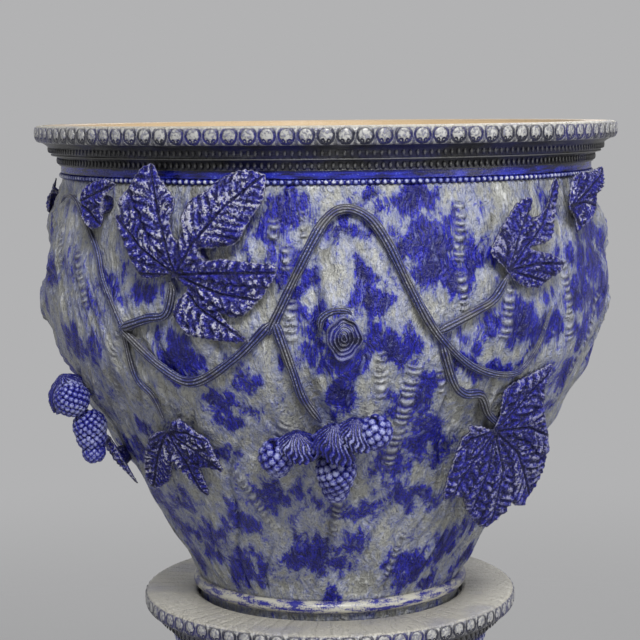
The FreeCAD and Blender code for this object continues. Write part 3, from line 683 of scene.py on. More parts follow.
vine_inputs = (("Path", "Geometry"), ("Section", "Object"), ("Twist", "Float"), ("Glaze", "Material"))
vine_kinds = (("line", "GeometryNodeMeshToCurve", {}),
              ("thick", "GeometryNodeInputNamedAttribute", {"data_type": "FLOAT"}),
              ("turn", "GeometryNodeSetCurveTilt", {}), ("along", "GeometryNodeSplineParameter", {}),
              ("twist", "ShaderNodeMath", {"operation": "MULTIPLY"}), ("shape", "GeometryNodeObjectInfo", {}),
              ("edge", "GeometryNodeMeshToCurve", {}), ("body", "GeometryNodeCurveToMesh", {}),
              ("real", "GeometryNodeRealizeInstances", {}), ("skin", "GeometryNodeSetMaterial", {}))
vine_links = (("in", "Path", "line", "Mesh"), ("line", 0, "turn", "Curve"),
              ("thick", "Attribute", "body", "Scale"),
              ("along", "Length", "twist", 0), ("in", "Twist", "twist", 1), ("twist", 0, "turn", "Tilt"),
              ("in", "Section", "shape", "Object"), ("shape", "Geometry", "edge", "Mesh"),
              ("turn", 0, "body", "Curve"),
              ("edge", 0, "body", "Profile Curve"), ("body", 0, "real", 0), ("real", 0, "skin", "Geometry"),
              ("in", "Glaze", "skin", "Material"), ("skin", 0, "out", 0))
vine_tree, vine_nodes = node_tree("vine_strand", vine_inputs, "Strand", vine_kinds, vine_links)
vine_nodes["thick"].inputs["Name"].default_value = "swell"
vine_nodes["body"].inputs["Fill Caps"].default_value = True


def strand_section(radius, strands):
    """Section of a vine rolled from several strands, with the grooves between them marked."""
    points = []
    groove = []
    count = strands * 6
    for step in range(count):
        turn = 2 * math.pi * step / count
        crest = abs(math.cos(strands * turn / 2)) ** 0.7
        reach = radius * (0.76 + 0.24 * crest)
        points.append((reach * math.cos(turn), reach * math.sin(turn), 0))
        groove.append(1 - crest)
    mesh = bpy.data.meshes.new("strand_section")
    mesh.from_pydata(points, [(i, (i + 1) % count) for i in range(count)], [])
    layer = mesh.attributes.new("groove", "FLOAT", "POINT")
    layer.data.foreach_set("value", groove)
    made = bpy.data.objects.new("strand_section", mesh)
    bpy.context.scene.collection.objects.link(made)
    return made


def vine_finish(name):
    glaze = Glaze(name)
    groove = glaze.read("groove")
    patch = glaze.cloud(45, 3.0)
    speck = glaze.cloud(900, 3.0)
    crest = glaze.blend(glaze.rise(patch, 0.40, 0.60), fired(98, 98, 102), fired(54, 62, 122))
    # Pale specks on the crests of the strands: partly pale glaze speckle, partly painted highlight.
    crest = glaze.blend(glaze.rise(speck, 0.50, 0.66) * 0.6, crest, fired(182, 184, 200))
    crest = glaze.blend(glaze.rise(glaze.cloud(130, 3.0), 0.52, 0.64) * 0.75, crest, fired(34, 36, 110))
    deep = glaze.blend(patch, fired(16, 15, 20), fired(6, 6, 44))
    colour = glaze.blend(glaze.rise(groove + (speck - 0.5) * 0.5, 0.10, 0.48), crest, deep)
    return glaze.finish(colour, 0.22 + 0.2 * speck, glaze.relief(speck, 0.0005))


def vine(name, points, radius, strands, twist, body, *nodes, tail=0.75):
    """A strand along points, thinner towards its far end."""
    path = smooth_path(points)
    mesh = bpy.data.meshes.new(name + "_path")
    mesh.from_pydata([tuple(p) for p in path], [(i, i + 1) for i in range(len(path) - 1)], [])
    share = np.linspace(0, 1, len(path))
    run = np.append(0, np.cumsum(np.linalg.norm(np.diff(path, axis=0), axis=1)))
    wander = 1 + 0.07 * np.sin(run * 95 + radius * 9000) + 0.04 * np.sin(run * 260)
    swell = (1 - (1 - tail) * share ** 4) * wander * np.minimum(1, 0.30 + np.minimum(run, run[-1] - run)
                                                                / 0.010)
    layer = mesh.attributes.new("swell", "FLOAT", "POINT")
    layer.data.foreach_set("value", swell.astype(np.float32))
    carrier = bpy.data.objects.new(name + "_path", mesh)
    bpy.context.scene.collection.objects.link(carrier)
    section = strand_section(radius, strands)
    modifier = carrier.modifiers.new("strand", "NODES")
    modifier.node_group = vine_tree
    for label, value in (("Section", section), ("Twist", twist), ("Glaze", vine_glaze)):
        tree_input(modifier, label, value)
    made = plain(carrier, name)
    bpy.data.objects.remove(section)
    dress(made, vine_glaze, body, "vine_glaze", *nodes)
    return made


def inside_outline(points, outline):
    """Which points lie inside the outline."""
    x, y = points[:, 0], points[:, 1]
    hit = np.zeros(len(points), bool)
    for (x0, y0), (x1, y1) in zip(outline, np.roll(outline, -1, 0)):
        if y0 == y1:
            continue
        crosses = (y0 > y) != (y1 > y)
        hit ^= crosses & (x < (x1 - x0) * (y - y0) / (y1 - y0) + x0)
    return hit


def nearest_run(points, run):
    """Distance from points to a run of straight pieces, how far along it, and on which side."""
    best = np.full(len(points), 1e9)
    along = np.zeros(len(points))
    side = np.zeros(len(points))
    done = 0.0
    for start, end in zip(run, run[1:]):
        line = end - start
        length = np.linalg.norm(line)
        t = np.clip((points - start) @ line / length ** 2, 0, 1)
        gap = points - (start + t[:, None] * line)
        reach = np.hypot(gap[:, 0], gap[:, 1])
        near = reach < best
        best = np.where(near, reach, best)
        along = np.where(near, done + t * length, along)
        side = np.where(near, np.sign(line[0] * gap[:, 1] - line[1] * gap[:, 0]), side)
        done += length
    return best, along, side


def leaf_form(outline, veins, seed, pitch=7.0, slant=0.75, spacing=1.2, fold=2.6):
    """Flat plan of a leaf in millimetres: points, faces, rim, relief and marks."""
    pick = np.random.default_rng(seed)
    corners = np.array(outline, float)
    rim = []
    for i, (a, b) in enumerate(zip(corners, np.roll(corners, -1, 0))):
        steps = max(2, int(np.linalg.norm(b - a) / 1.5))
        before = corners[i - 1]
        after = corners[(i + 2) % len(corners)]
        for t in np.linspace(0, 1, steps, endpoint=False):
            curve = 0.5 * (2 * a + (b - before) * t + (2 * before - 5 * a + 4 * b - after) * t ** 2
                           + (3 * a - before - 3 * b + after) * t ** 3)
            rim.append(a + (b - a) * t + (curve - a - (b - a) * t) * 0.6)
    rim = np.array(rim)
    away = np.roll(rim, -1, 0) - np.roll(rim, 1, 0)
    away = np.stack([away[:, 1], -away[:, 0]], 1) / (np.linalg.norm(away, axis=1)[:, None] + 1e-9)
    rim = rim + away * (pick.normal(0, 0.28, len(rim)) + 0.35 * np.sin(np.arange(len(rim)) * 2.1))[:, None]
    low, high = rim.min(0), rim.max(0)
    grid = []
    for row, y in enumerate(np.arange(low[1], high[1], spacing * 0.87)):
        for x in np.arange(low[0] + (row % 2) * spacing / 2, high[0], spacing):
            grid.append((x, y))
    grid = np.array(grid) + pick.normal(0, spacing * 0.08, (len(grid), 2))
    grid = grid[inside_outline(grid, rim)]
    closed = np.vstack([rim, rim[:1]])
    reach, _, _ = nearest_run(grid, closed)
    grid = grid[reach > spacing * 0.55]
    flat = np.vstack([rim, grid])
    loop = list(range(len(rim)))
    made = delaunay_2d_cdt([Vector(p) for p in flat], [(i, (i + 1) % len(rim)) for i in loop], [loop], 1,
                           1e-5)
    points = np.array([tuple(p) for p in made[0]])
    faces = [tuple(f) for f in made[2]]
    edge, _, _ = nearest_run(points, closed)
    best = np.full(len(points), 1e9)
    second = np.full(len(points), 1e9)
    along = np.zeros(len(points))
    phase = np.zeros(len(points))
    for order, run in enumerate(veins):
        reach, run_along, side = nearest_run(points, np.array(run, float))
        near = reach < best
        second = np.where(near, best, np.minimum(second, reach))
        best = np.where(near, reach, best)
        along = np.where(near, run_along, along)
        phase = np.where(near, (run_along - reach * slant) / pitch + 0.31 * order + 0.25 * (side > 0), phase)
    x, y = points.T
    phase = phase + 0.17 * np.sin(x * 0.23 + seed) + 0.15 * np.sin(y * 0.29 + 2 * seed)
    crest = 0.5 + 0.5 * np.cos(2 * math.pi * phase)
    started = soft(best, 0.8, 4.5)
    groove = np.exp(-(best / 0.60) ** 2)
    lips = np.exp(-((best - 1.6) / 0.75) ** 2)
    valley = np.exp(-((second - best) / 2.6) ** 2) * started
    wrinkle = np.sin(x * 1.13 + 1.7 * np.sin(y * 0.61)) * np.sin(y * 1.29 + 1.3 * np.sin(x * 0.53))
    wrinkle = 0.32 * wrinkle + 0.22 * np.sin(2.1 * x + 1.2 * y
                                             + 1.5 * np.sin(0.9 * y)) * np.sin(1.8 * y - 0.7 * x)
    swell = fold * np.sin(np.minimum(best / 11.0, 1.0) * math.pi / 2)
    curl = 1.3 * np.sin(np.minimum(edge, 9.0) / 9.0 * math.pi) * np.sin(x * 0.11 + y * 0.07 + seed)
    relief = (swell + curl + 1.9 * (crest - 0.5) * started + 0.5 * lips - 0.9 * groove - 1.2 * valley
              + wrinkle * started)
    relief = relief * (0.30 + 0.70 * soft(edge, 0.0, 3.0)) - 0.8 * (1 - soft(edge, 0, 2.0))
    marks = {"relief": np.clip(crest * started * 0.8 + lips * 0.55 + wrinkle * 0.5 - groove - valley * 0.5,
                               0, 1),
             "vein": np.clip(groove + 0.5 * valley ** 2, 0, 1), "edge": 1 - soft(edge, 0.2, 1.6)}
    return points, faces, edge, relief, marks


def leaf_finish(name, thin_glaze_and_highlight, scored):
    glaze = Glaze(name)
    relief = glaze.read("relief")
    vein = glaze.read("vein")
    edge = glaze.read("edge")
    speck = glaze.cloud(640, 4.0, rough=0.65)
    crinkle = glaze.cloud(330, 3.0, rough=0.6)
    clump = glaze.cloud(120, 2.0)
    patch = glaze.cloud(24, 2.0)
    load = (relief * 0.72 + (speck - 0.5) * 3.0 + (crinkle - 0.5) * 2.0 + (clump - 0.5) * 0.8
            + (patch - 0.5) * 0.9)
    # Pale on the raised ribs and crinkle: partly the glaze breaking thin on the ridges, partly painted
    # highlight.
    pale = glaze.rise(load - vein * 0.9, 0.30, 0.78)
    base = glaze.blend(glaze.rise(crinkle, 0.35, 0.60), fired(6, 6, 78), fired(28, 28, 172))
    base = glaze.blend((1.0 - glaze.rise(relief, 0.0, 0.45)) * 0.7, base, fired(6, 6, 50))
    pale_glaze_and_highlight = glaze.blend(glaze.rise(clump, 0.35, 0.60), fired(132, 136, 214), fired(226, 226, 238))
    colour = glaze.blend(pale * thin_glaze_and_highlight, base, pale_glaze_and_highlight)
    colour = glaze.blend(glaze.rise(edge + (speck - 0.5) * 1.6, 0.6, 1.1) * 0.7, colour, fired(190, 190, 202))
    colour = glaze.blend(vein * 0.8, colour, scored)
    normal = glaze.relief(speck, 0.0022)
    normal = glaze.relief(crinkle, 0.0032, normal)
    return glaze.finish(colour, 0.20 + 0.22 * speck, normal)


def leaf(name, form, surface, pad, body, *nodes, thick=3.4, glaze=None):
    """A pressed leaf laid over a surface: crisp face, thinner towards its edge, on a pad of clay."""
    points, faces, edge, relief, marks = form
    middle = (points.min(0) + points.max(0)) / 2
    reach = np.hypot(*(points - middle).T)
    depth = 1.3 + (thick - 1.3) * soft(edge, 0.0, 8.0) + pad[1] * (1 - soft(reach, pad[0] * 0.55, pad[0]))
    count = len(points)
    top = [surface(x, y, h) for (x, y), h in zip(points, relief)]
    under = [surface(x, y, h - d) for (x, y), h, d in zip(points, relief * 0.4, depth)]
    uses = dict.fromkeys(side for face in faces for side in zip(face, face[1:] + face[:1]))
    walls = [(b, a, a + count, b + count) for a, b in uses if (b, a) not in uses]
    all_faces = list(faces) + [tuple(count + i for i in reversed(face)) for face in faces] + walls
    doubled = {mark: np.concatenate([values, values * 0.3]) for mark, values in marks.items()}
    piece = clay(name, top + under, all_faces, doubled)
    return dress(piece, glaze or leaf_glaze, body, "leaf_glaze", *nodes)


# The second number is the share of pale thin glaze and painted highlight on the raised ribs.
leaf_glaze = leaf_finish("leaf_glaze", 0.85, fired(8, 8, 40))
smooth_leaf_glaze = leaf_finish("smooth_leaf_glaze", 0.50, fired(10, 10, 58))
vine_glaze = vine_finish("vine_glaze")

big_outline = [(-15, -6), (-30, -10), (-39, -8), (-51, 10), (-62, 32), (-57, 35), (-60, 43), (-51, 53),
               (-44, 64), (-33, 70), (-24, 59), (-13, 48), (-11, 42), (-14, 31), (-12, 22), (-8, 17),
               (-4, 24), (-6, 33), (1, 45), (13, 52), (20, 58), (37, 66), (54, 62), (54, 46), (45, 31),
               (38, 18), (30, 14), (8, 12), (13, 4), (27, 6), (44, 4), (64, 2), (63, -6), (54, -20),
               (40, -33), (32, -34), (23, -31), (30, -40), (43, -51), (20, -51), (-4, -47), (-13, -34),
               (-8, -23), (0, -15), (-6, -11)]
big_veins = [[(-10, -6), (-22, 30), (-33, 70)], [(-10, -6), (-38, 12), (-60, 34)],
             [(-10, -6), (5, 16), (28, 42), (52, 61)],
             [(-10, -6), (20, -4), (64, -3)], [(-10, -6), (8, -28), (41, -50)],
             [(-10, -6), (-32, -6), (-40, -6)],
             [(-10, -6), (25, -18), (52, -22)]]
low_right_outline = [(-19, 23), (-16, 34), (-18, 52), (-10, 59), (11, 65), (29, 69), (29, 61), (25, 53),
                     (31, 34), (40, 19), (49, 7), (55, -18), (54, -40), (47, -54), (36, -51), (28, -45),
                     (25, -56), (13, -67), (0, -62), (-12, -52), (-21, -43), (-28, -33), (-38, -30),
                     (-47, -32), (-51, -18), (-50, 2), (-48, 20), (-43, 23), (-44, 29), (-32, 27)]
low_right_veins = [[(-19, 23), (2, 42), (27, 66)], [(-19, 23), (-12, 56)], [(-19, 23), (20, 20), (48, 8)],
                   [(-19, 23), (15, 0), (50, -44)], [(-19, 23), (4, -12), (15, -64)],
                   [(-19, 23), (-12, -10), (-14, -50)],
                   [(-19, 23), (-32, -2), (-42, -30)], [(-19, 23), (-40, 18), (-50, 8)]]


def scaled(line, factor, turn=0.0):
    c, s = math.cos(math.radians(turn)) * factor, math.sin(math.radians(turn)) * factor
    return [(x * c - y * s, x * s + y * c) for x, y in line]


def on_trunk(spot, lift):
    """Surface that lays a leaf all over the trunk, a lift above it."""
    def surface(x, y, h):
        point = spot.at(x / 1000, y / 1000)
        radius = float(trunk_radius(point.z)) + lift + 0.0045 + h / 1000
        flat = Vector((point.x, point.y, 0)).normalized() * radius
        return (flat.x, flat.y, point.z)
    return surface


for name, angle, height, outline, veins, factor, turn, seed in (
        ("stand_leaf_front", -22.0, 0.415, big_outline, big_veins, 0.72, 8.0, 21),
        ("stand_leaf_right", 62.0, 0.330, low_right_outline, low_right_veins, 0.72, -10.0, 22),
        ("stand_leaf_left", -42.0, 0.215, big_outline, big_veins, 0.66, -14.0, 23)):
    form = leaf_form(scaled(outline, factor, turn), [scaled(run, factor, turn) for run in veins], seed, 5.4)
    spot = Spot(angle, height, float(trunk_radius(height)))
    leaf(name + "_face", form, on_trunk(spot, 0.004), (17.0, 6.0), "stand", name)

stations = []
for step in range(49):
    share = step / 48
    turn = math.radians(-95.0 + 430.0 * share + 16.0 * math.sin(share * 5.5 * math.pi))
    level = 0.078 + (0.570 - 0.078) * share
    radius = float(trunk_radius(level)) + 0.0022
    stations.append((radius * math.sin(turn), -radius * math.cos(turn), level))
vine("stand_vine_strands", stations, 0.0036, 9, 22.0, "stand", "stand_vine")


def fruit_width(rise, half_width, half_length):
    """Radius of a fruit at a height above its middle: three round swellings that narrow downwards."""
    rounds = ((half_width, half_length - half_width), (half_width * 0.9, 0.0),
              (half_width * 0.68, half_width * 0.68 - half_length))
    return max(math.sqrt(max(r * r - (rise - c) ** 2, 0.0)) for r, c in rounds)


seat_inputs = (("Seats", "Geometry"), ("Unit", "Object"), ("Size", "Float"), ("Glaze", "Material"))
seat_kinds = (("unit", "GeometryNodeObjectInfo", {}),
              ("facing", "GeometryNodeInputNamedAttribute", {"data_type": "FLOAT_VECTOR"}),
              ("face", "FunctionNodeAlignRotationToVector", {"axis": "X"}),
              ("copy", "GeometryNodeInstanceOnPoints", {}),
              ("real", "GeometryNodeRealizeInstances", {}), ("skin", "GeometryNodeSetMaterial", {}))
seat_links = (("in", "Seats", "copy", "Points"), ("in", "Unit", "unit", "Object"),
              ("unit", "Geometry", "copy", "Instance"),
              ("facing", "Attribute", "face", "Vector"), ("face", 0, "copy", "Rotation"),
              ("in", "Size", "copy", "Scale"),
              ("copy", 0, "real", 0), ("real", 0, "skin", "Geometry"), ("in", "Glaze", "skin", "Material"),
              ("skin", 0, "out", 0))
drupelet_tree, seat_nodes = node_tree("drupelets", seat_inputs, "Fruit", seat_kinds, seat_links)
seat_nodes["facing"].inputs["Name"].default_value = "facing"


def berry_finish(name):
    glaze = Glaze(name)
    crown = glaze.read("crown")
    speck = glaze.cloud(700, 2.0)
    patch = glaze.cloud(60, 2.0)
    # Pale on the crowns of the drupelets and the ribs of the husks: partly glaze thin there, partly painted
    # highlight.
    pale = glaze.rise(crown + (speck - 0.5) * 1.1 + (patch - 0.5) * 0.9, 0.40, 1.0)
    base = glaze.blend(glaze.rise(crown, 0.0, 0.7), fired(8, 8, 50), fired(28, 30, 140))
    colour = glaze.blend(pale * 0.85, base, glaze.blend(patch, fired(120, 128, 204), fired(190, 194, 220)))
    return glaze.finish(colour, 0.18 + 0.2 * speck, glaze.relief(speck, 0.0006))


berry_glaze = berry_finish("berry_glaze")


def fruit_body(spot, half_width, half_length, ribs, shrink):
    """Points, faces and crown marks of a fruit, or where it has ribs, of a calyx of petals over one."""
    rows, around = 20, max(32, ribs * 6)
    points, crown, faces = [], [], []
    for row in range(rows + 1):
        share = row / rows
        for step in range(around):
            turn = 2 * math.pi * step / around
            if ribs:
                petal = abs(math.cos(2.5 * turn + 0.7 * math.sin(2 * turn))) ** 0.7
                crest = abs(math.cos(ribs * turn / 2 + 0.9 * math.sin(share * 11 + 5 * turn))) ** 1.6
                rise = half_length * (1.0 - share * (1.00 + 0.60 * petal))
                reach = half_width * (0.14 + 1.05 * math.sin(min(share * 1.35, 1.0) * math.pi
                                                             / 2)) * (0.87 + 0.13 * crest)
                reach = reach * (1.0 + 0.16 * share * petal)
            else:
                crest = 0.0
                rise = half_length * math.cos(math.pi * share) * shrink
                reach = max(fruit_width(rise / shrink, half_width, half_length) * shrink, 0.0001)
            points.append(spot.at(reach * math.cos(turn), rise, reach * math.sin(turn)))
            crown.append(crest)
    for row in range(rows):
        for step in range(around):
            a, b = row * around + step, row * around + (step + 1) % around
            faces.append((a, b, b + around, a + around))
    for row, rise in ((0, half_length * shrink), (rows, -half_length * shrink * (0.3 if ribs else 1.0))):
        hub = len(points)
        points.append(spot.at(0, rise, 0))
        crown.append(0.0)
        for step in range(around):
            faces.append((row * around + step, row * around + (step + 1) % around, hub))
    return points, faces, crown


def berries(name, fruits, body, *nodes, grit=0.0063):
    """A cluster of fruits: husks with ribs, and berries packed with drupelets round their axes."""
    points, faces, crown = [], [], []
    seats, facing = [], []
    for spot, half_width, half_length, ribs in fruits:
        more, polygons, tops = fruit_body(spot, half_width, half_length, ribs, 1.0 if ribs else 0.86)
        start = len(points)
        points += more
        crown += tops
        faces += [tuple(start + i for i in polygon) for polygon in polygons]
        if ribs:
            continue
        area = 4.4 * math.pi * half_width * half_length
        count = int(area / grit ** 2)
        for step in range(count):
            rise = half_length * (1 - 2 * (step + 0.5) / count) * 0.97
            turn = step * math.pi * (3 - math.sqrt(5))
            width = fruit_width(rise, half_width, half_length)
            slope = (fruit_width(rise - 0.001, half_width, half_length)
                     - fruit_width(rise + 0.001, half_width, half_length)) / 0.002
            out = spot.at(width * math.cos(turn), rise, width * math.sin(turn))
            tip = spot.at((width + 0.001) * math.cos(turn), rise + 0.001 * slope,
                          (width + 0.001) * math.sin(turn))
            direction = (tip - out).normalized()
            seats.append(out - direction * 0.41 * grit)
            facing.append(direction)
    core = clay(name + "_core", points, faces, {"crown": [c * 0.60 for c in crown]})
    mesh = bpy.data.meshes.new(name + "_seats")
    mesh.from_pydata([tuple(p) for p in seats], [], [])
    layer = mesh.attributes.new("facing", "FLOAT_VECTOR", "POINT")
    layer.data.foreach_set("vector", np.array([tuple(f) for f in facing], np.float32).ravel())
    carrier = bpy.data.objects.new(name + "_seats", mesh)
    bpy.context.scene.collection.objects.link(carrier)
    unit = press_unit(name + "_unit", 0.0074, 0.0074, 0.0032, 10, 3)
    modifier = carrier.modifiers.new("drupelets", "NODES")
    modifier.node_group = drupelet_tree
    for label, value in (("Unit", unit), ("Size", grit / 0.0063), ("Glaze", berry_glaze)):
        tree_input(modifier, label, value)
    packed = plain(carrier, name)
    bpy.data.objects.remove(unit)
    dress(packed, berry_glaze, body, "berry_glaze", *nodes)
    dress(core, berry_glaze, body, "berry_glaze")


def trunk_slope(height):
    up, flare = (trunk_high - trunk_waist_height,
                 0.028) if height > trunk_waist_height else (trunk_low - trunk_waist_height, 0.052)
    size = (up ** 2 + flare ** 2) / (2 * flare)
    return -math.degrees(math.asin((height - trunk_waist_height) / size))


bunch = []
for angle, drop, lift, wide, tall, ribs in ((26.0, -0.376, 0.007, 0.012, 0.017, 0),
                                            (19.0, -0.356, 0.006, 0.011, 0.013, 0),
                                            (33.5, -0.354, 0.006, 0.011, 0.013, 0),
                                            (26.0, -0.350, 0.005, 0.011, 0.012, 22)):
    level = trunk_high + drop
    bunch.append((Spot(angle, level, float(trunk_radius(level)) + lift, trunk_slope(level)), wide, tall,
                  ribs))
berries("stand_bunch", bunch, "stand", "stand_berries")


def knot(name, spot, wide, tall, body, node):
    """A sawn branch end: rings cut into a low dome inside an uneven collar of bark."""
    around, rows = 72, 34
    points, marks, faces = [], [], []
    pick = np.random.default_rng(5)
    waves = [(int(pick.integers(2, 9)), pick.uniform(0, 6.3), pick.normal(0, 0.032)) for _ in range(9)]
    for row in range(rows + 1):
        share = row / rows
        for step in range(around):
            turn = 2 * math.pi * step / around
            uneven = 1 + sum(a * math.cos(n * turn + p) for n, p, a in waves) * share
            ring = 0.5 + 0.5 * math.cos(2 * math.pi * 5.4 * share ** 0.9
                                        + 0.9 * math.sin(turn * 2 + share * 5) + 0.5 * math.sin(3 * turn))
            collar = math.exp(-((share - 0.92) / 0.07) ** 2)
            lift = (0.0030 + 0.0011 * ring * (share < 0.86) + 0.0020 * collar
                    - 0.0060 * max(0, share - 0.93) / 0.07)
            points.append(spot.at(wide / 2 * share * uneven * math.cos(turn),
                                  tall / 2 * share * uneven * math.sin(turn), lift))
            marks.append(ring * (share < 0.86) * 0.8 + collar * 0.9)
    for row in range(rows):
        for step in range(around):
            a, b = row * around + step, row * around + (step + 1) % around
            faces.append((a, b, b + around, a + around))
    base = len(points)
    for step in range(around):
        turn = 2 * math.pi * step / around
        points.append(spot.at(wide * 0.45 * math.cos(turn), tall * 0.45 * math.sin(turn), -0.006))
        marks.append(0.0)
    for step in range(around):
        a, b = rows * around + step, rows * around + (step + 1) % around
        faces.append((a, b, base + (step + 1) % around, base + step))
    faces.append(tuple(range(base, base + around)))
    piece = clay(name, points, faces, {"crown": marks}, weld=True)
    return dress(piece, knot_glaze, body, "bark_glaze", node)


def knot_finish(name):
    glaze = Glaze(name)
    crown = glaze.read("crown")
    speck = glaze.cloud(900, 3.0)
    patch = glaze.cloud(90, 2.0)
    pale = glaze.rise(crown + (speck - 0.5) * 1.4 + (patch - 0.5) * 1.1, 0.35, 1.0)
    base = glaze.blend(glaze.rise(patch, 0.40, 0.60), fired(10, 10, 44), fired(20, 22, 104))
    colour = glaze.blend(pale * 0.7, base, glaze.blend(patch, fired(128, 128, 138), fired(128, 134, 196)))
    return glaze.finish(colour, 0.26 + 0.2 * speck, glaze.relief(speck, 0.0004))


knot_glaze = knot_finish("knot_glaze")
knot("stand_knot_rings", Spot(8.0, 0.500, float(trunk_radius(0.500))), 0.024, 0.030, "stand", "stand_knot")


# ---------------------------------------------------------------- wall of the bowl
# The thrown bowl with its lip, floor and turned foot. The outside is bark: combed streaks, folds,
# pinched ladders of ripples and a burl at each side. The inside is plain and fired tan.

rim_top = 1.030
wall_top = 0.9895
wall_bottom = 0.672
belly_height = 0.903
belly_radius = 0.2192
shoulder_curve = 0.2921
hip_curve = 0.130
wall_thickness = 0.011
floor_level = 0.678
bark_rows = 140
bark_columns = 556
foot_drop, foot_inset = belly_height - wall_bottom, 0.105 - (belly_radius - hip_curve)
taper = math.atan2(foot_drop, foot_inset) - math.acos(hip_curve / math.hypot(foot_drop, foot_inset))


def wall_radius(height):
    """Outer radius of the wall before it is worked."""
    drop = belly_height - np.asarray(height, float)
    bend = hip_curve * math.sin(taper)
    shoulder = belly_radius - shoulder_curve + np.sqrt(np.maximum(shoulder_curve ** 2 - drop ** 2, 0))
    hip = belly_radius - hip_curve + np.sqrt(np.maximum(hip_curve ** 2 - np.clip(drop, 0, bend) ** 2, 0))
    cone = belly_radius - hip_curve * (1 - math.cos(taper)) - (drop - bend) * math.tan(taper)
    return np.where(drop < 0, shoulder, np.where(drop < bend, hip, cone))


def wall_slope(height):
    drop = belly_height - height
    if drop < 0:
        return math.degrees(math.asin(-drop / shoulder_curve))
    return -math.degrees(min(taper, math.asin(min(1.0, drop / hip_curve))))


def inner_edge(height):
    """Radius of the inner face, the thickness of the wall inside the outer one."""
    return float(wall_radius(height)) - wall_thickness / math.cos(math.radians(wall_slope(height)))


def burled_radius(angle, height):
    """The wall with a full knob and a lower shoulder swelling out of it at each side."""
    radius = wall_radius(height)
    folded = np.abs(np.abs(angle) - math.pi / 2)
    grown = radius
    for level, rise, curve in ((0.894, 0.0078, 0.046), (0.934, 0.0050, 0.080)):
        centre = float(wall_radius(level)) + rise - curve
        across = np.maximum(curve ** 2 - (height - level) ** 2 - (centre * np.sin(folded)) ** 2, 0)
        bulge = centre * np.cos(folded) + np.sqrt(across)
        here = (folded < 0.6) & (across > 0)
        grown = np.maximum(grown, np.where(here, bulge, 0))
    return grown


# Angle and drop where each ladder starts, angle and drop where it ends, and its width.
bowl_ladders = [(9.7, -0.155, 10.3, -0.188, 0.009), (16.5, -0.166, 14.1, -0.243, 0.012),
                (21.7, -0.169, 22.7, -0.188, 0.006),
                (-9.8, -0.064, -9.7, -0.078, 0.007), (-7.5, -0.080, -7.3, -0.097, 0.007),
                (-6.8, -0.118, -6.7, -0.146, 0.009),
                (-4.5, -0.058, -4.3, -0.075, 0.005), (26.1, -0.052, 24.9, -0.093, 0.009),
                (-9.0, -0.206, -14.8, -0.249, 0.011),
                (-43.3, -0.144, -51.8, -0.200, 0.006), (25.0, -0.102, 26.0, -0.128, 0.007),
                (36.0, -0.112, 34.5, -0.150, 0.008),
                (52.0, -0.100, 55.0, -0.160, 0.009), (-34.0, -0.200, -31.0, -0.235, 0.009),
                (-57.0, -0.090, -54.0, -0.130, 0.010),
                (-70.0, -0.070, -66.0, -0.105, 0.010), (68.0, -0.130, 62.0, -0.190, 0.009),
                (-24.0, -0.245, -18.0, -0.290, 0.010),
                (3.0, -0.262, 1.0, -0.300, 0.010), (24.0, -0.300, 21.0, -0.340, 0.010)]
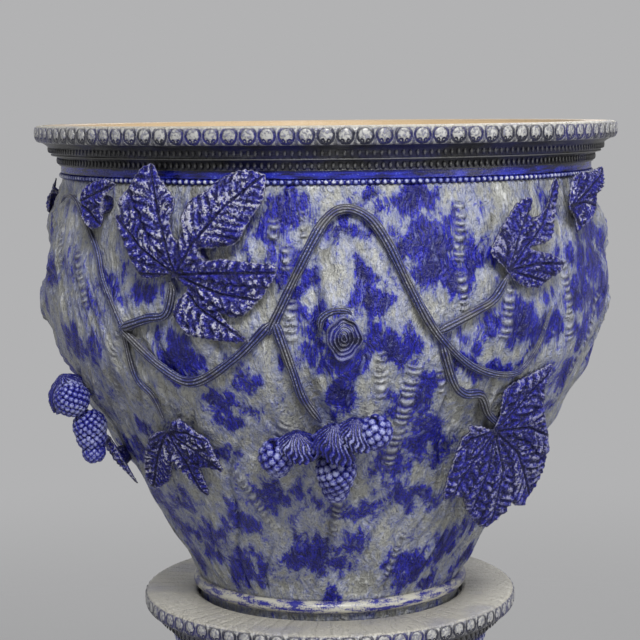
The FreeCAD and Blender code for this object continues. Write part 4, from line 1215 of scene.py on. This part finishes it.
# Angle, drop, half width in degrees, half height in metres and strength of each wash of cobalt.
bowl_washes = [(-0.6, -0.134, 2.0, 0.010, 0.8), (6.6, -0.151, 1.5, 0.008, 0.7),
               (1.0, -0.163, 2.6, 0.006, 0.8),
               (4.2, -0.127, 2.2, 0.004, 0.6), (-6.8, -0.052, 3.8, 0.009, 0.9),
               (-4.5, -0.061, 2.2, 0.007, 0.7), (-10.7, -0.073, 1.3, 0.020, 0.7),
               (-7.5, -0.092, 2.2, 0.016, 0.6), (12.3, -0.054, 3.1, 0.007, 0.45),
               (9.4, -0.047, 1.9, 0.005, 0.4),
               (17.4, -0.051, 4.0, 0.010, 1.0), (18.2, -0.078, 4.7, 0.013, 1.0),
               (20.8, -0.096, 4.7, 0.012, 1.0),
               (23.7, -0.074, 2.9, 0.012, 0.8), (24.3, -0.104, 3.3, 0.010, 1.0),
               (28.2, -0.095, 1.7, 0.012, 0.8),
               (6.8, -0.100, 1.8, 0.009, 0.9), (8.7, -0.118, 1.8, 0.011, 0.9), (1.7, -0.068, 1.8, 0.009, 0.3),
               (12.0, -0.151, 4.6, 0.011, 0.9), (19.5, -0.188, 2.4, 0.017, 0.9),
               (15.2, -0.195, 2.7, 0.012, 0.8),
               (20.0, -0.216, 4.7, 0.014, 0.8), (15.8, -0.239, 5.9, 0.011, 0.8),
               (26.4, -0.234, 3.8, 0.011, 0.6),
               (-20.7, -0.190, 3.1, 0.008, 0.8), (-17.0, -0.179, 2.4, 0.006, 0.6),
               (-21.7, -0.206, 2.8, 0.006, 0.8),
               (-29.0, -0.156, 3.6, 0.013, 0.9), (-32.3, -0.141, 1.8, 0.006, 0.6),
               (-36.8, -0.114, 3.0, 0.007, 0.9),
               (-43.2, -0.105, 2.3, 0.008, 0.6), (-38.8, -0.123, 2.1, 0.006, 0.6),
               (-48.1, -0.111, 2.6, 0.007, 0.5),
               (-53.3, -0.125, 4.3, 0.010, 0.5), (-62.3, -0.160, 9.2, 0.012, 0.6),
               (-57.2, -0.104, 4.1, 0.013, 0.5),
               (-75.1, -0.110, 6.1, 0.012, 0.8), (2.3, -0.185, 2.9, 0.010, 1.0),
               (4.4, -0.166, 1.8, 0.010, 0.8),
               (-4.8, -0.117, 1.6, 0.019, 0.9), (-5.5, -0.102, 1.3, 0.016, 0.7),
               (-7.1, -0.269, 6.4, 0.009, 0.5),
               (5.8, -0.279, 7.8, 0.008, 0.6), (19.2, -0.271, 7.1, 0.009, 0.5),
               (-27.6, -0.292, 6.6, 0.008, 0.7),
               (31.2, -0.144, 3.2, 0.014, 0.7), (38.2, -0.138, 4.7, 0.013, 0.9),
               (45.5, -0.149, 3.1, 0.013, 0.7),
               (35.3, -0.173, 6.4, 0.006, 0.8), (57.7, -0.124, 5.7, 0.013, 0.9),
               (50.2, -0.142, 3.2, 0.010, 0.7),
               (59.6, -0.185, 5.1, 0.013, 0.6), (65.2, -0.082, 6.6, 0.010, 0.7),
               (75.3, -0.095, 7.0, 0.013, 0.6),
               (27.9, -0.169, 2.5, 0.009, 0.9), (56.4, -0.093, 3.0, 0.010, 0.6),
               (0.0, -0.320, 9.0, 0.014, 0.6),
               (28.0, -0.330, 9.0, 0.012, 0.6), (-30.0, -0.330, 8.0, 0.014, 0.7),
               (55.0, -0.270, 9.0, 0.016, 0.6),
               (-58.0, -0.290, 8.0, 0.016, 0.6), (80.0, -0.180, 6.0, 0.020, 0.6),
               (-84.0, -0.200, 6.0, 0.020, 0.6),
               (64.0, -0.104, 6.5, 0.015, 0.9), (71.0, -0.130, 6.5, 0.015, 0.9),
               (60.5, -0.155, 5.5, 0.013, 0.8)]


pick = np.random.default_rng(17)
bowl_washes += [(pick.uniform(-168, 168), pick.uniform(-0.355, -0.245), pick.uniform(3, 7),
                 pick.uniform(0.006, 0.014),
                 pick.uniform(0.5, 0.9)) for _ in range(70)]
bowl_washes += [(pick.uniform(-168, 168), pick.uniform(-0.250, -0.045), pick.uniform(2, 5),
                 pick.uniform(0.004, 0.010),
                 pick.uniform(0.25, 0.60)) for _ in range(120)]
# The back has washes of its own.
bowl_washes += [(pick.uniform(92, 268), pick.uniform(-0.250, -0.045), pick.uniform(3, 6),
                 pick.uniform(0.008, 0.016),
                 pick.uniform(0.7, 1.0)) for _ in range(44)]


def bowl_relief(angle, height):
    folded = np.where(np.abs(angle) > math.pi / 2, np.sign(angle) * math.pi - angle, angle)
    drop = height - rim_top
    sway = angle + 0.10 * np.sin(22 * height + 2 * angle) + 0.03 * np.sin(61 * height + 5 * angle)
    folds = grain(sway, height, 7, 6, 24, 10.0)
    lumps = grain(angle, height, 8, 5, 22, 75.0)
    ridges = grain(sway, height, 9, 50, 110, 16.0)
    crease = np.exp(-(folds / 0.14) ** 2) * soft(lumps, -1.0, 0.5)
    cover, rungs = ladder_marks(folded, drop, 0.212, bowl_ladders)
    almond = np.hypot((folded - math.radians(2.5)) * 0.21 / 0.017, (drop + 0.128) / 0.056)
    swell = 0.0032 * (1 - soft(almond, 0.45, 1.0)) - 0.0016 * np.exp(-((almond - 1.0) / 0.10) ** 2)
    side = soft(np.abs(folded), 1.05, 1.45)
    pinch = np.sin(height * 640 + 5 * np.sin(19 * angle + 40 * height)) * soft(grain(angle, height, 12, 9,
                                                                                     26, 60.0), -0.2, 0.8)
    relief = (0.0011 + 0.0012 * side) * lumps + 0.0006 * ridges * (1 - cover) - 0.0020 * crease
    relief = relief + (0.0002 + 0.0010 * side) * pinch * (height > wall_bottom + 0.08)
    relief = relief + 0.0007 * cover - 0.0008 + swell
    edge = soft(height, wall_bottom, wall_bottom + 0.012) * (1 - soft(height, wall_top - 0.010, wall_top))
    wash = np.maximum(wash_marks(angle, drop, bowl_washes), wash_marks(angle + 2 * math.pi, drop,
                                                                       bowl_washes))
    crease = np.maximum(crease * 0.9, np.exp(-((almond - 1.0) / 0.07) ** 2) * 0.7)
    room = 0.2272 - burled_radius(angle, height)
    return np.minimum(np.clip(relief * edge, -0.005, 0.0032), room), {"wash": wash, "crease": crease,
                                                                      "ladder": cover, "rung": rungs}


inner = [(0.105, 0.672), (0.104, 0.6715), (0.104, 0.6512), (0.1025, 0.650), (0.0895, 0.650),
         (0.0875, 0.652), (0.084, 0.664), (0.0, 0.664),
         (0.0, floor_level)]
inner += [(r, floor_level) for r in (0.03, 0.06, inner_edge(floor_level) - 0.006)]
inner += [(inner_edge(z), z) for z in np.linspace(floor_level + 0.004, wall_top, 14)]
inner += [(0.1953, 1.010), (0.1955, 1.0165), (0.201, 1.0175), (0.201, 1.0285), (0.2025, 1.030),
          (0.2195, 1.030), (0.2210, 1.0285),
          (0.2210, 1.0170), (0.2155, 1.0170), (0.204, 0.9995), (0.204, wall_top)]
inside = [0.0] * 8 + [1.0] * 22 + [0.8, 0.8, 0.6, 0.2, 0.0, 0.0, 0.0]
wall = barked("bowl_bark", burled_radius, wall_bottom, wall_top, bark_rows, bark_columns, inner,
              bowl_relief, inside)
dress(wall, bark_glaze, "jardiniere", "bark_glaze", "bowl_wall", "burl_left", "burl_right")
glaze_node("bowl_foot_moulding", moulding_glaze)


# ---------------------------------------------------------------- rim and neck of the bowl
# Strips cast in moulds and laid round the neck: eggs on the lip, two reeded hollows, a smooth band
# of strong cobalt and a row of small beads.

egg_band("rim", "jardiniere", 108, 0.007)
for level, (radius, height) in enumerate(((0.2165, 1.0118), (0.2098, 1.0032))):
    reed = press_unit("rim_reed_unit", 0.0029, 0.0062, 0.0010, 6, 2)
    reeds = row_round("rim_reeds_%d" % level, reed, 270, radius, height, cornice_glaze, 0.012 * level)
    dress(reeds, cornice_glaze, "jardiniere", "cornice_glaze")
fillet = thrown("rim_fillet", [(0.2125, 1.0069), (0.2148, 1.0069), (0.2150, 1.0074), (0.2148, 1.0079),
                               (0.2125, 1.0079)], 256,
                {"crown": [0.9] * (5 * 256)})
dress(fillet, cornice_glaze, "jardiniere", "cornice_glaze")
glaze_node("rim_reeded_cavettos", cornice_glaze)


def neck_finish(name):
    glaze = Glaze(name)
    streak = glaze.cloud(70, 4.0, (1, 1, 6), 0.6)
    speck = glaze.cloud(800, 3.0)
    blue = glaze.blend(glaze.rise(streak, 0.35, 0.65), fired(16, 16, 62), fired(36, 44, 168))
    colour = glaze.blend(glaze.rise(speck + (streak - 0.5) * 0.6, 0.62, 0.8) * 0.6, blue,
                         fired(110, 130, 210))
    return glaze.finish(colour, 0.16 + 0.2 * speck, glaze.relief(speck, 0.0003))


neck_glaze = neck_finish("neck_glaze")
glaze_node("neck_band", neck_glaze)
bead_ring("neck", "jardiniere", neck_glaze, (0.204, 0.2064), 0.0003, 256, (0.0047, 0.0044, 0.0030), 260,
          0.2062)


# ---------------------------------------------------------------- vines of the bowl
# Rolled strands of clay pressed on to the bark with slip, in one piece each, before the leaves.

def wall_points(stations, radius, sink, back):
    points = []
    for angle, drop, *lift in stations:
        level = rim_top + drop / 1000
        turn = math.radians(angle)
        reach = float(wall_radius(level)) + radius - sink + sum(lift) / 1000
        points.append((reach * math.sin(turn), (1 if back else -1) * reach * math.cos(turn), level))
    return points


bowl_vines = (
    ("vine_arch", 0.0036, 0.0012, 9, 7.0,
     [(-10.5, -141), (-4.3, -91), (-0.3, -64), (3.4, -56), (7.6, -62), (10.9, -79), (14.6, -108),
      (18.3, -134),
      (22.6, -153), (28, -168), (34.5, -176), (40, -175), (43.4, -158), (46.3, -130)]),
    ("vine_left_sweep", 0.0036, 0.0012, 9, -6.0, [(-9.8, -132), (-16.9, -158), (-26.1, -177), (-33.1, -167),
                                                  (-42.0, -140)]),
    ("vine_to_big_leaf", 0.0036, 0.0012, 8, 8.0, [(-41.5, -142), (-34.5, -133), (-30.3, -129), (-29, -112),
                                                  (-28.8, -106, 4)]),
    ("vine_root_tendril", 0.0023, 0.0013, 7, 5.0,
     [(-41.0, -144), (-46.5, -110), (-49, -89), (-54.5, -69), (-61, -54), (-67.6, -52), (-71, -58)]),
    ("vine_to_low_left_leaf", 0.0024, 0.0013, 7, 6.0, [(-41.5, -138), (-40.7, -176), (-38, -192),
                                                       (-37, -212, 3)]),
    ("vine_to_berries", 0.0036, 0.0012, 9, 8.0, [(-9.6, -130), (-6.5, -165), (-4.8, -186), (-1.4, -205)]),
    ("vine_to_low_right_leaf", 0.0036, 0.0012, 9, -7.0,
     [(20.8, -148), (24.3, -178), (27.6, -188), (31.5, -190), (35.5, -206), (40, -219, 8)]),
    ("vine_to_high_right_leaf", 0.0036, 0.0012, 8, 9.0, [(19.6, -142), (27.1, -129), (31.4, -121),
                                                         (33.7, -104, 6)]))
tails = {"vine_arch": 0.30, "vine_root_tendril": 0.45}
for name, radius, sink, strands, twist, stations in bowl_vines:
    for face in ("front", "back"):
        points = wall_points(stations, radius, sink, face == "back")
        vine(name + "_strands_" + face, points, radius, strands, twist, "jardiniere", name + "_" + face,
             tail=tails.get(name, 0.75))


# ---------------------------------------------------------------- leaves of the bowl
# Vine leaves pressed in moulds as thin domed sheets, their veins sharpened with a tool, laid over a
# pad of clay so that the edges stand free of the bark.

def domed(spot, curve):
    """Surface of a leaf bent over a ball of a curve in metres."""
    def surface(x, y, h):
        x, y = x / 1000, y / 1000
        sag = math.sqrt(max(curve ** 2 - x ** 2 - y ** 2, 0)) - curve
        return spot.at(x, y, sag + h / 1000)
    return surface


high_right_outline = [(-35, -8), (-48, 4), (-45, 11), (-36, 24), (-22, 37), (-9, 41), (-8, 36), (-12, 29),
                      (-8, 24), (3, 30), (9, 36), (14, 45), (21, 53), (23, 47), (15, 29), (8, 10), (-13, 5),
                      (5, 1), (16, -3), (26, -8), (17, -15), (6, -19), (-2, -23), (-16, -22), (-29, -15)]
high_right_veins = [[(-33, -9), (-24, 14), (-10, 39)], [(-33, -9), (-6, 16), (21, 51)],
                    [(-33, -9), (-5, -6), (25, -8)],
                    [(-33, -9), (-8, -16), (4, -19)], [(-33, -9), (-44, 4)]]
low_left_outline = [(-2, 19), (-12, 17), (-23, 11), (-30, 1), (-38, -11), (-44, -24), (-46, -35), (-43, -43),
                    (-31, -36), (-20, -28), (-13, -17), (-6, -8), (-1, -17), (6, -33), (11, -40), (15, -28),
                    (16, -12), (25, -11), (35, -14), (35, -3), (33, 14), (25, 21), (13, 31), (4, 27)]
low_left_veins = [[(-2, 19), (-20, -4), (-43, -41)], [(-2, 19), (6, -6), (11, -38)],
                  [(-2, 19), (18, 6), (34, -12)],
                  [(-2, 19), (16, 20), (32, 14)], [(-2, 19), (-24, 8)]]
curled_outline = [(-20, 3), (-18, 8), (-10, 14), (8, 18), (22, 15), (14, 9), (8, 3), (6, -4), (9, -10),
                  (4, -16), (-6, -17), (-13, -12), (-17, -5)]
curled_veins = [[(-19, 1), (0, 8), (21, 15)], [(-19, 1), (-4, -6), (6, -14)]]
rim_outline = [(-34, 0), (-31, 11), (-24, 20), (-8, 24), (8, 23), (36, 26), (32, 16), (22, 8), (14, 4),
               (16, -3), (4, -10), (-11, -15), (-23, -19), (-26, -9)]
rim_veins = [[(-33, 0), (0, 10), (35, 25)], [(-33, 0), (-8, 2), (15, -2)], [(-33, 0), (-20, 14), (-8, 23)],
             [(-33, 0), (-20, -16)]]

bowl_leaves = (
    ("leaf_big", -25, -95, 9.1, -6.3, big_outline, big_veins, 0.270, 17.0, 10.0, 7.0, 31),
    ("leaf_high_right", 42, -92, 9.9, -6.9, high_right_outline, high_right_veins, 0.250, 17.0, 10.0, 5.5, 32),
    ("leaf_low_right", 42, -240, 16.4, 8.5, low_right_outline, low_right_veins, 0.600, 17.0, 16.0, 7.5, 33),
    ("leaf_low_left", -36, -235, 9.4, 2.5, low_left_outline, low_left_veins, 0.400, 9.0, 9.0, 5.5, 34),
    ("leaf_curled_left", -48, -55, 11.5, -11.2, curled_outline, curled_veins, 0.230, 9.0, 11.0, 4.5, 35),
    ("leaf_rim_right", 60, -60, 10.5, -8.2, rim_outline, rim_veins, 1.000, 9.0, 11.0, 5.0, 36),
    ("leaf_under_fruit", -66, -252, 12.0, 2.5, scaled(curled_outline, 1.0, -100.0),
     [scaled(run, 1.0, -100.0) for run in curled_veins], 0.200, 9.0, 12.0, 4.5, 37))
for name, angle, drop, lift, tilt, outline, veins, curve, pad, pad_depth, pitch, seed in bowl_leaves:
    form = leaf_form(outline, veins, seed, pitch)
    level = rim_top + drop / 1000
    for face in ("front", "back"):
        spot = Spot(angle, level, float(wall_radius(level)) + lift / 1000, wall_slope(level) + tilt,
                    face == "back")
        leaf(name + "_face_" + face, form, domed(spot, curve), (pad, pad_depth), "jardiniere",
             name + "_" + face,
             glaze=smooth_leaf_glaze if name in ("leaf_low_right", "leaf_high_right") else leaf_glaze)
form = leaf_form(scaled(curled_outline, 0.66, 80.0), [scaled(run, 0.66, 80.0) for run in curled_veins], 38,
                 4.5)
level = rim_top - 0.058
spot = Spot(-89, level, float(wall_radius(level)) + 0.0072, wall_slope(level) - 5.0)
leaf("leaf_rim_left_face", form, domed(spot, 0.300), (9.0, 11.0), "jardiniere", "leaf_rim_left")


# ---------------------------------------------------------------- fruit and knots of the bowl
# Berries rolled as lumps and packed with small beads of clay, under ribbed husks, and the sawn
# branch end in the middle of the front and of the back.

centre_fruits = [(1.6, -247, 9.0, 14.5, 21.0, 2.5, 0), (-11.3, -233, 8.0, 13.0, 15.0, 2.5, 0),
                 (9.4, -213, 8.0, 12.5, 13.0, 6.5, 0),
                 (1.2, -220, 6.0, 14.0, 15.0, 4.5, 26), (-6.6, -222, 5.0, 12.5, 11.0, 4.5, 24),
                 (5.4, -213, 5.0, 12.5, 12.0, 4.5, 24)]
side_fruits = [(-63.0, -203, 20.0, 13.5, 13.5, 4.5, 0), (-63.5, -233, 22.0, 13.0, 21.0, 22.5, 0),
               (-67.0, -200, 15.0, 14.0, 15.0, 4.5, 22)]
for name, fruits, grit in (("berries_centre", centre_fruits, 0.0063), ("berries_side", side_fruits, 0.0046)):
    for face in ("front", "back"):
        cluster = []
        for angle, drop, lift, wide, tall, tilt, ribs in fruits:
            level = rim_top + drop / 1000
            spot = Spot(angle, level, float(wall_radius(level)) + lift / 1000, wall_slope(level) + tilt,
                        face == "back")
            cluster.append((spot, wide / 1000, tall / 1000, ribs))
        berries(name + "_bunch_" + face, cluster, "jardiniere", name + "_" + face, grit=grit)
for face in ("front", "back"):
    level = rim_top - 0.143
    spot = Spot(2.9, level, float(wall_radius(level)), wall_slope(level) + 2.1, face == "back")
    knot("bark_knot_rings_" + face, spot, 0.025, 0.031, "jardiniere", "bark_knot_" + face)
    curl = wall_points([(-1.2, -139), (-1.1, -130), (1.0, -124.5), (3.6, -124.5), (4.4, -128.5)], 0.0028,
                       0.0004, face == "back")
    vine("bark_curl_" + face, curl, 0.0028, 8, 20.0, "jardiniere")


# ---------------------------------------------------------------- studio
# Grey paper on the floor that fades into a grey room, a large soft light above the camera, a
# second one from the right and a third from behind.

def paper(name, colour):
    glaze = Glaze(name)
    mottle = glaze.cloud(1.2, 3.0)
    tone = glaze.blend(mottle, colour, tuple(min(1.0, c * 1.06) for c in colour[:3]) + (1.0,))
    glaze.shader.inputs["Specular IOR Level"].default_value = 0.1
    away = glaze.node("ShaderNodeVectorMath", {"operation": "LENGTH"}, {0: glaze.place}, "Value")
    glaze.put(glaze.shader.inputs["Alpha"], 1.0 - glaze.rise(away, 0.9, 3.6))
    return glaze.finish(tone, 0.85, glaze.relief(mottle, 0.0002))


def paper_disc(radius, rings, around):
    """A round sheet of paper on the floor, finer towards its middle."""
    points = [(0.0, 0.0, 0.0)]
    for ring in range(1, rings + 1):
        reach = radius * (ring / rings) ** 1.5
        points += [(reach * math.cos(2 * math.pi * i / around), reach * math.sin(2 * math.pi * i / around),
                    0.0) for i in range(around)]
    faces = [(0, 1 + i, 1 + (i + 1) % around) for i in range(around)]
    for ring in range(rings - 1):
        for i in range(around):
            a, b = 1 + ring * around + i, 1 + ring * around + (i + 1) % around
            faces.append((a, a + around, b + around, b))
    return clay("paper_floor", points, faces)


backdrop = paper_disc(4.0, 12, 72)
paper_grey = paper("grey_paper", fired(190, 190, 191))
backdrop.data.materials.append(paper_grey)

world = bpy.data.worlds.new("room")
bpy.context.scene.world = world
world.use_nodes = True
room = world.node_tree
room_light = room.nodes["Background"]
room_light.inputs[0].default_value = (1, 1, 1, 1)
room_light.inputs[1].default_value = 0.34
room_seen = room.nodes.new("ShaderNodeBackground")
room_seen.inputs[0].default_value = fired(178, 178, 179)
room_path = room.nodes.new("ShaderNodeLightPath")
room_glossy = room.nodes.new("ShaderNodeMath")
room_glossy.operation = "MAXIMUM"
room_clear = room.nodes.new("ShaderNodeMath")
room_clear.operation = "MAXIMUM"
room_mix = room.nodes.new("ShaderNodeMixShader")
for source, target in ((room_path.outputs["Is Camera Ray"], room_glossy.inputs[0]),
                       (room_path.outputs["Is Glossy Ray"], room_glossy.inputs[1]),
                       (room_glossy.outputs[0], room_clear.inputs[0]),
                       (room_path.outputs["Is Transmission Ray"], room_clear.inputs[1]),
                       (room_clear.outputs[0], room_mix.inputs[0]),
                       (room_light.outputs[0], room_mix.inputs[1]),
                       (room_seen.outputs[0], room_mix.inputs[2]),
                       (room_mix.outputs[0], room.nodes["World Output"].inputs[0])):
    room.links.new(source, target)


def soft_box(name, place, target, size, watts):
    light = bpy.data.lights.new(name, "AREA")
    light.shape = "RECTANGLE"
    light.size, light.size_y = size
    light.energy = watts
    lamp = bpy.data.objects.new(name, light)
    lamp.location = place
    lamp.rotation_euler = (Vector(target) - Vector(place)).to_track_quat("-Z", "Y").to_euler()
    bpy.context.scene.collection.objects.link(lamp)


soft_box("soft_above", (0.3, -1.8, 2.4), (0, 0, 0.80), (0.9, 0.6), 50.0)
soft_box("soft_right", (2.0, -1.3, 1.4), (0, 0, 0.80), (0.6, 1.0), 10.5)
soft_box("soft_behind", (0.6, 2.2, 2.3), (0, 0, 0.6), (1.2, 0.8), 14.0)

yaw, pitch, roll = -0.0041, 0.1185, -0.0096
right = Vector((math.cos(yaw), -math.sin(yaw), 0))
ahead = Vector((math.sin(yaw) * math.cos(pitch), math.cos(yaw) * math.cos(pitch), -math.sin(pitch)))
above = Vector((math.sin(yaw) * math.sin(pitch), math.cos(yaw) * math.sin(pitch), math.cos(pitch)))
side_axis = right * math.cos(roll) + above * math.sin(roll)
up_axis = above * math.cos(roll) - right * math.sin(roll)
lens = bpy.data.cameras.new("camera")
lens.sensor_width = 36.0
lens.lens = 101.88
lens.clip_end = 30.0
camera = bpy.data.objects.new("camera", lens)
turn = Matrix((side_axis, up_axis, -ahead)).transposed()
camera.matrix_world = Matrix.Translation((0.0, -1.4363, 1.04412)) @ turn.to_4x4()
bpy.context.scene.collection.objects.link(camera)
bpy.context.scene.camera = camera
bpy.context.scene.view_settings.view_transform = "Standard"
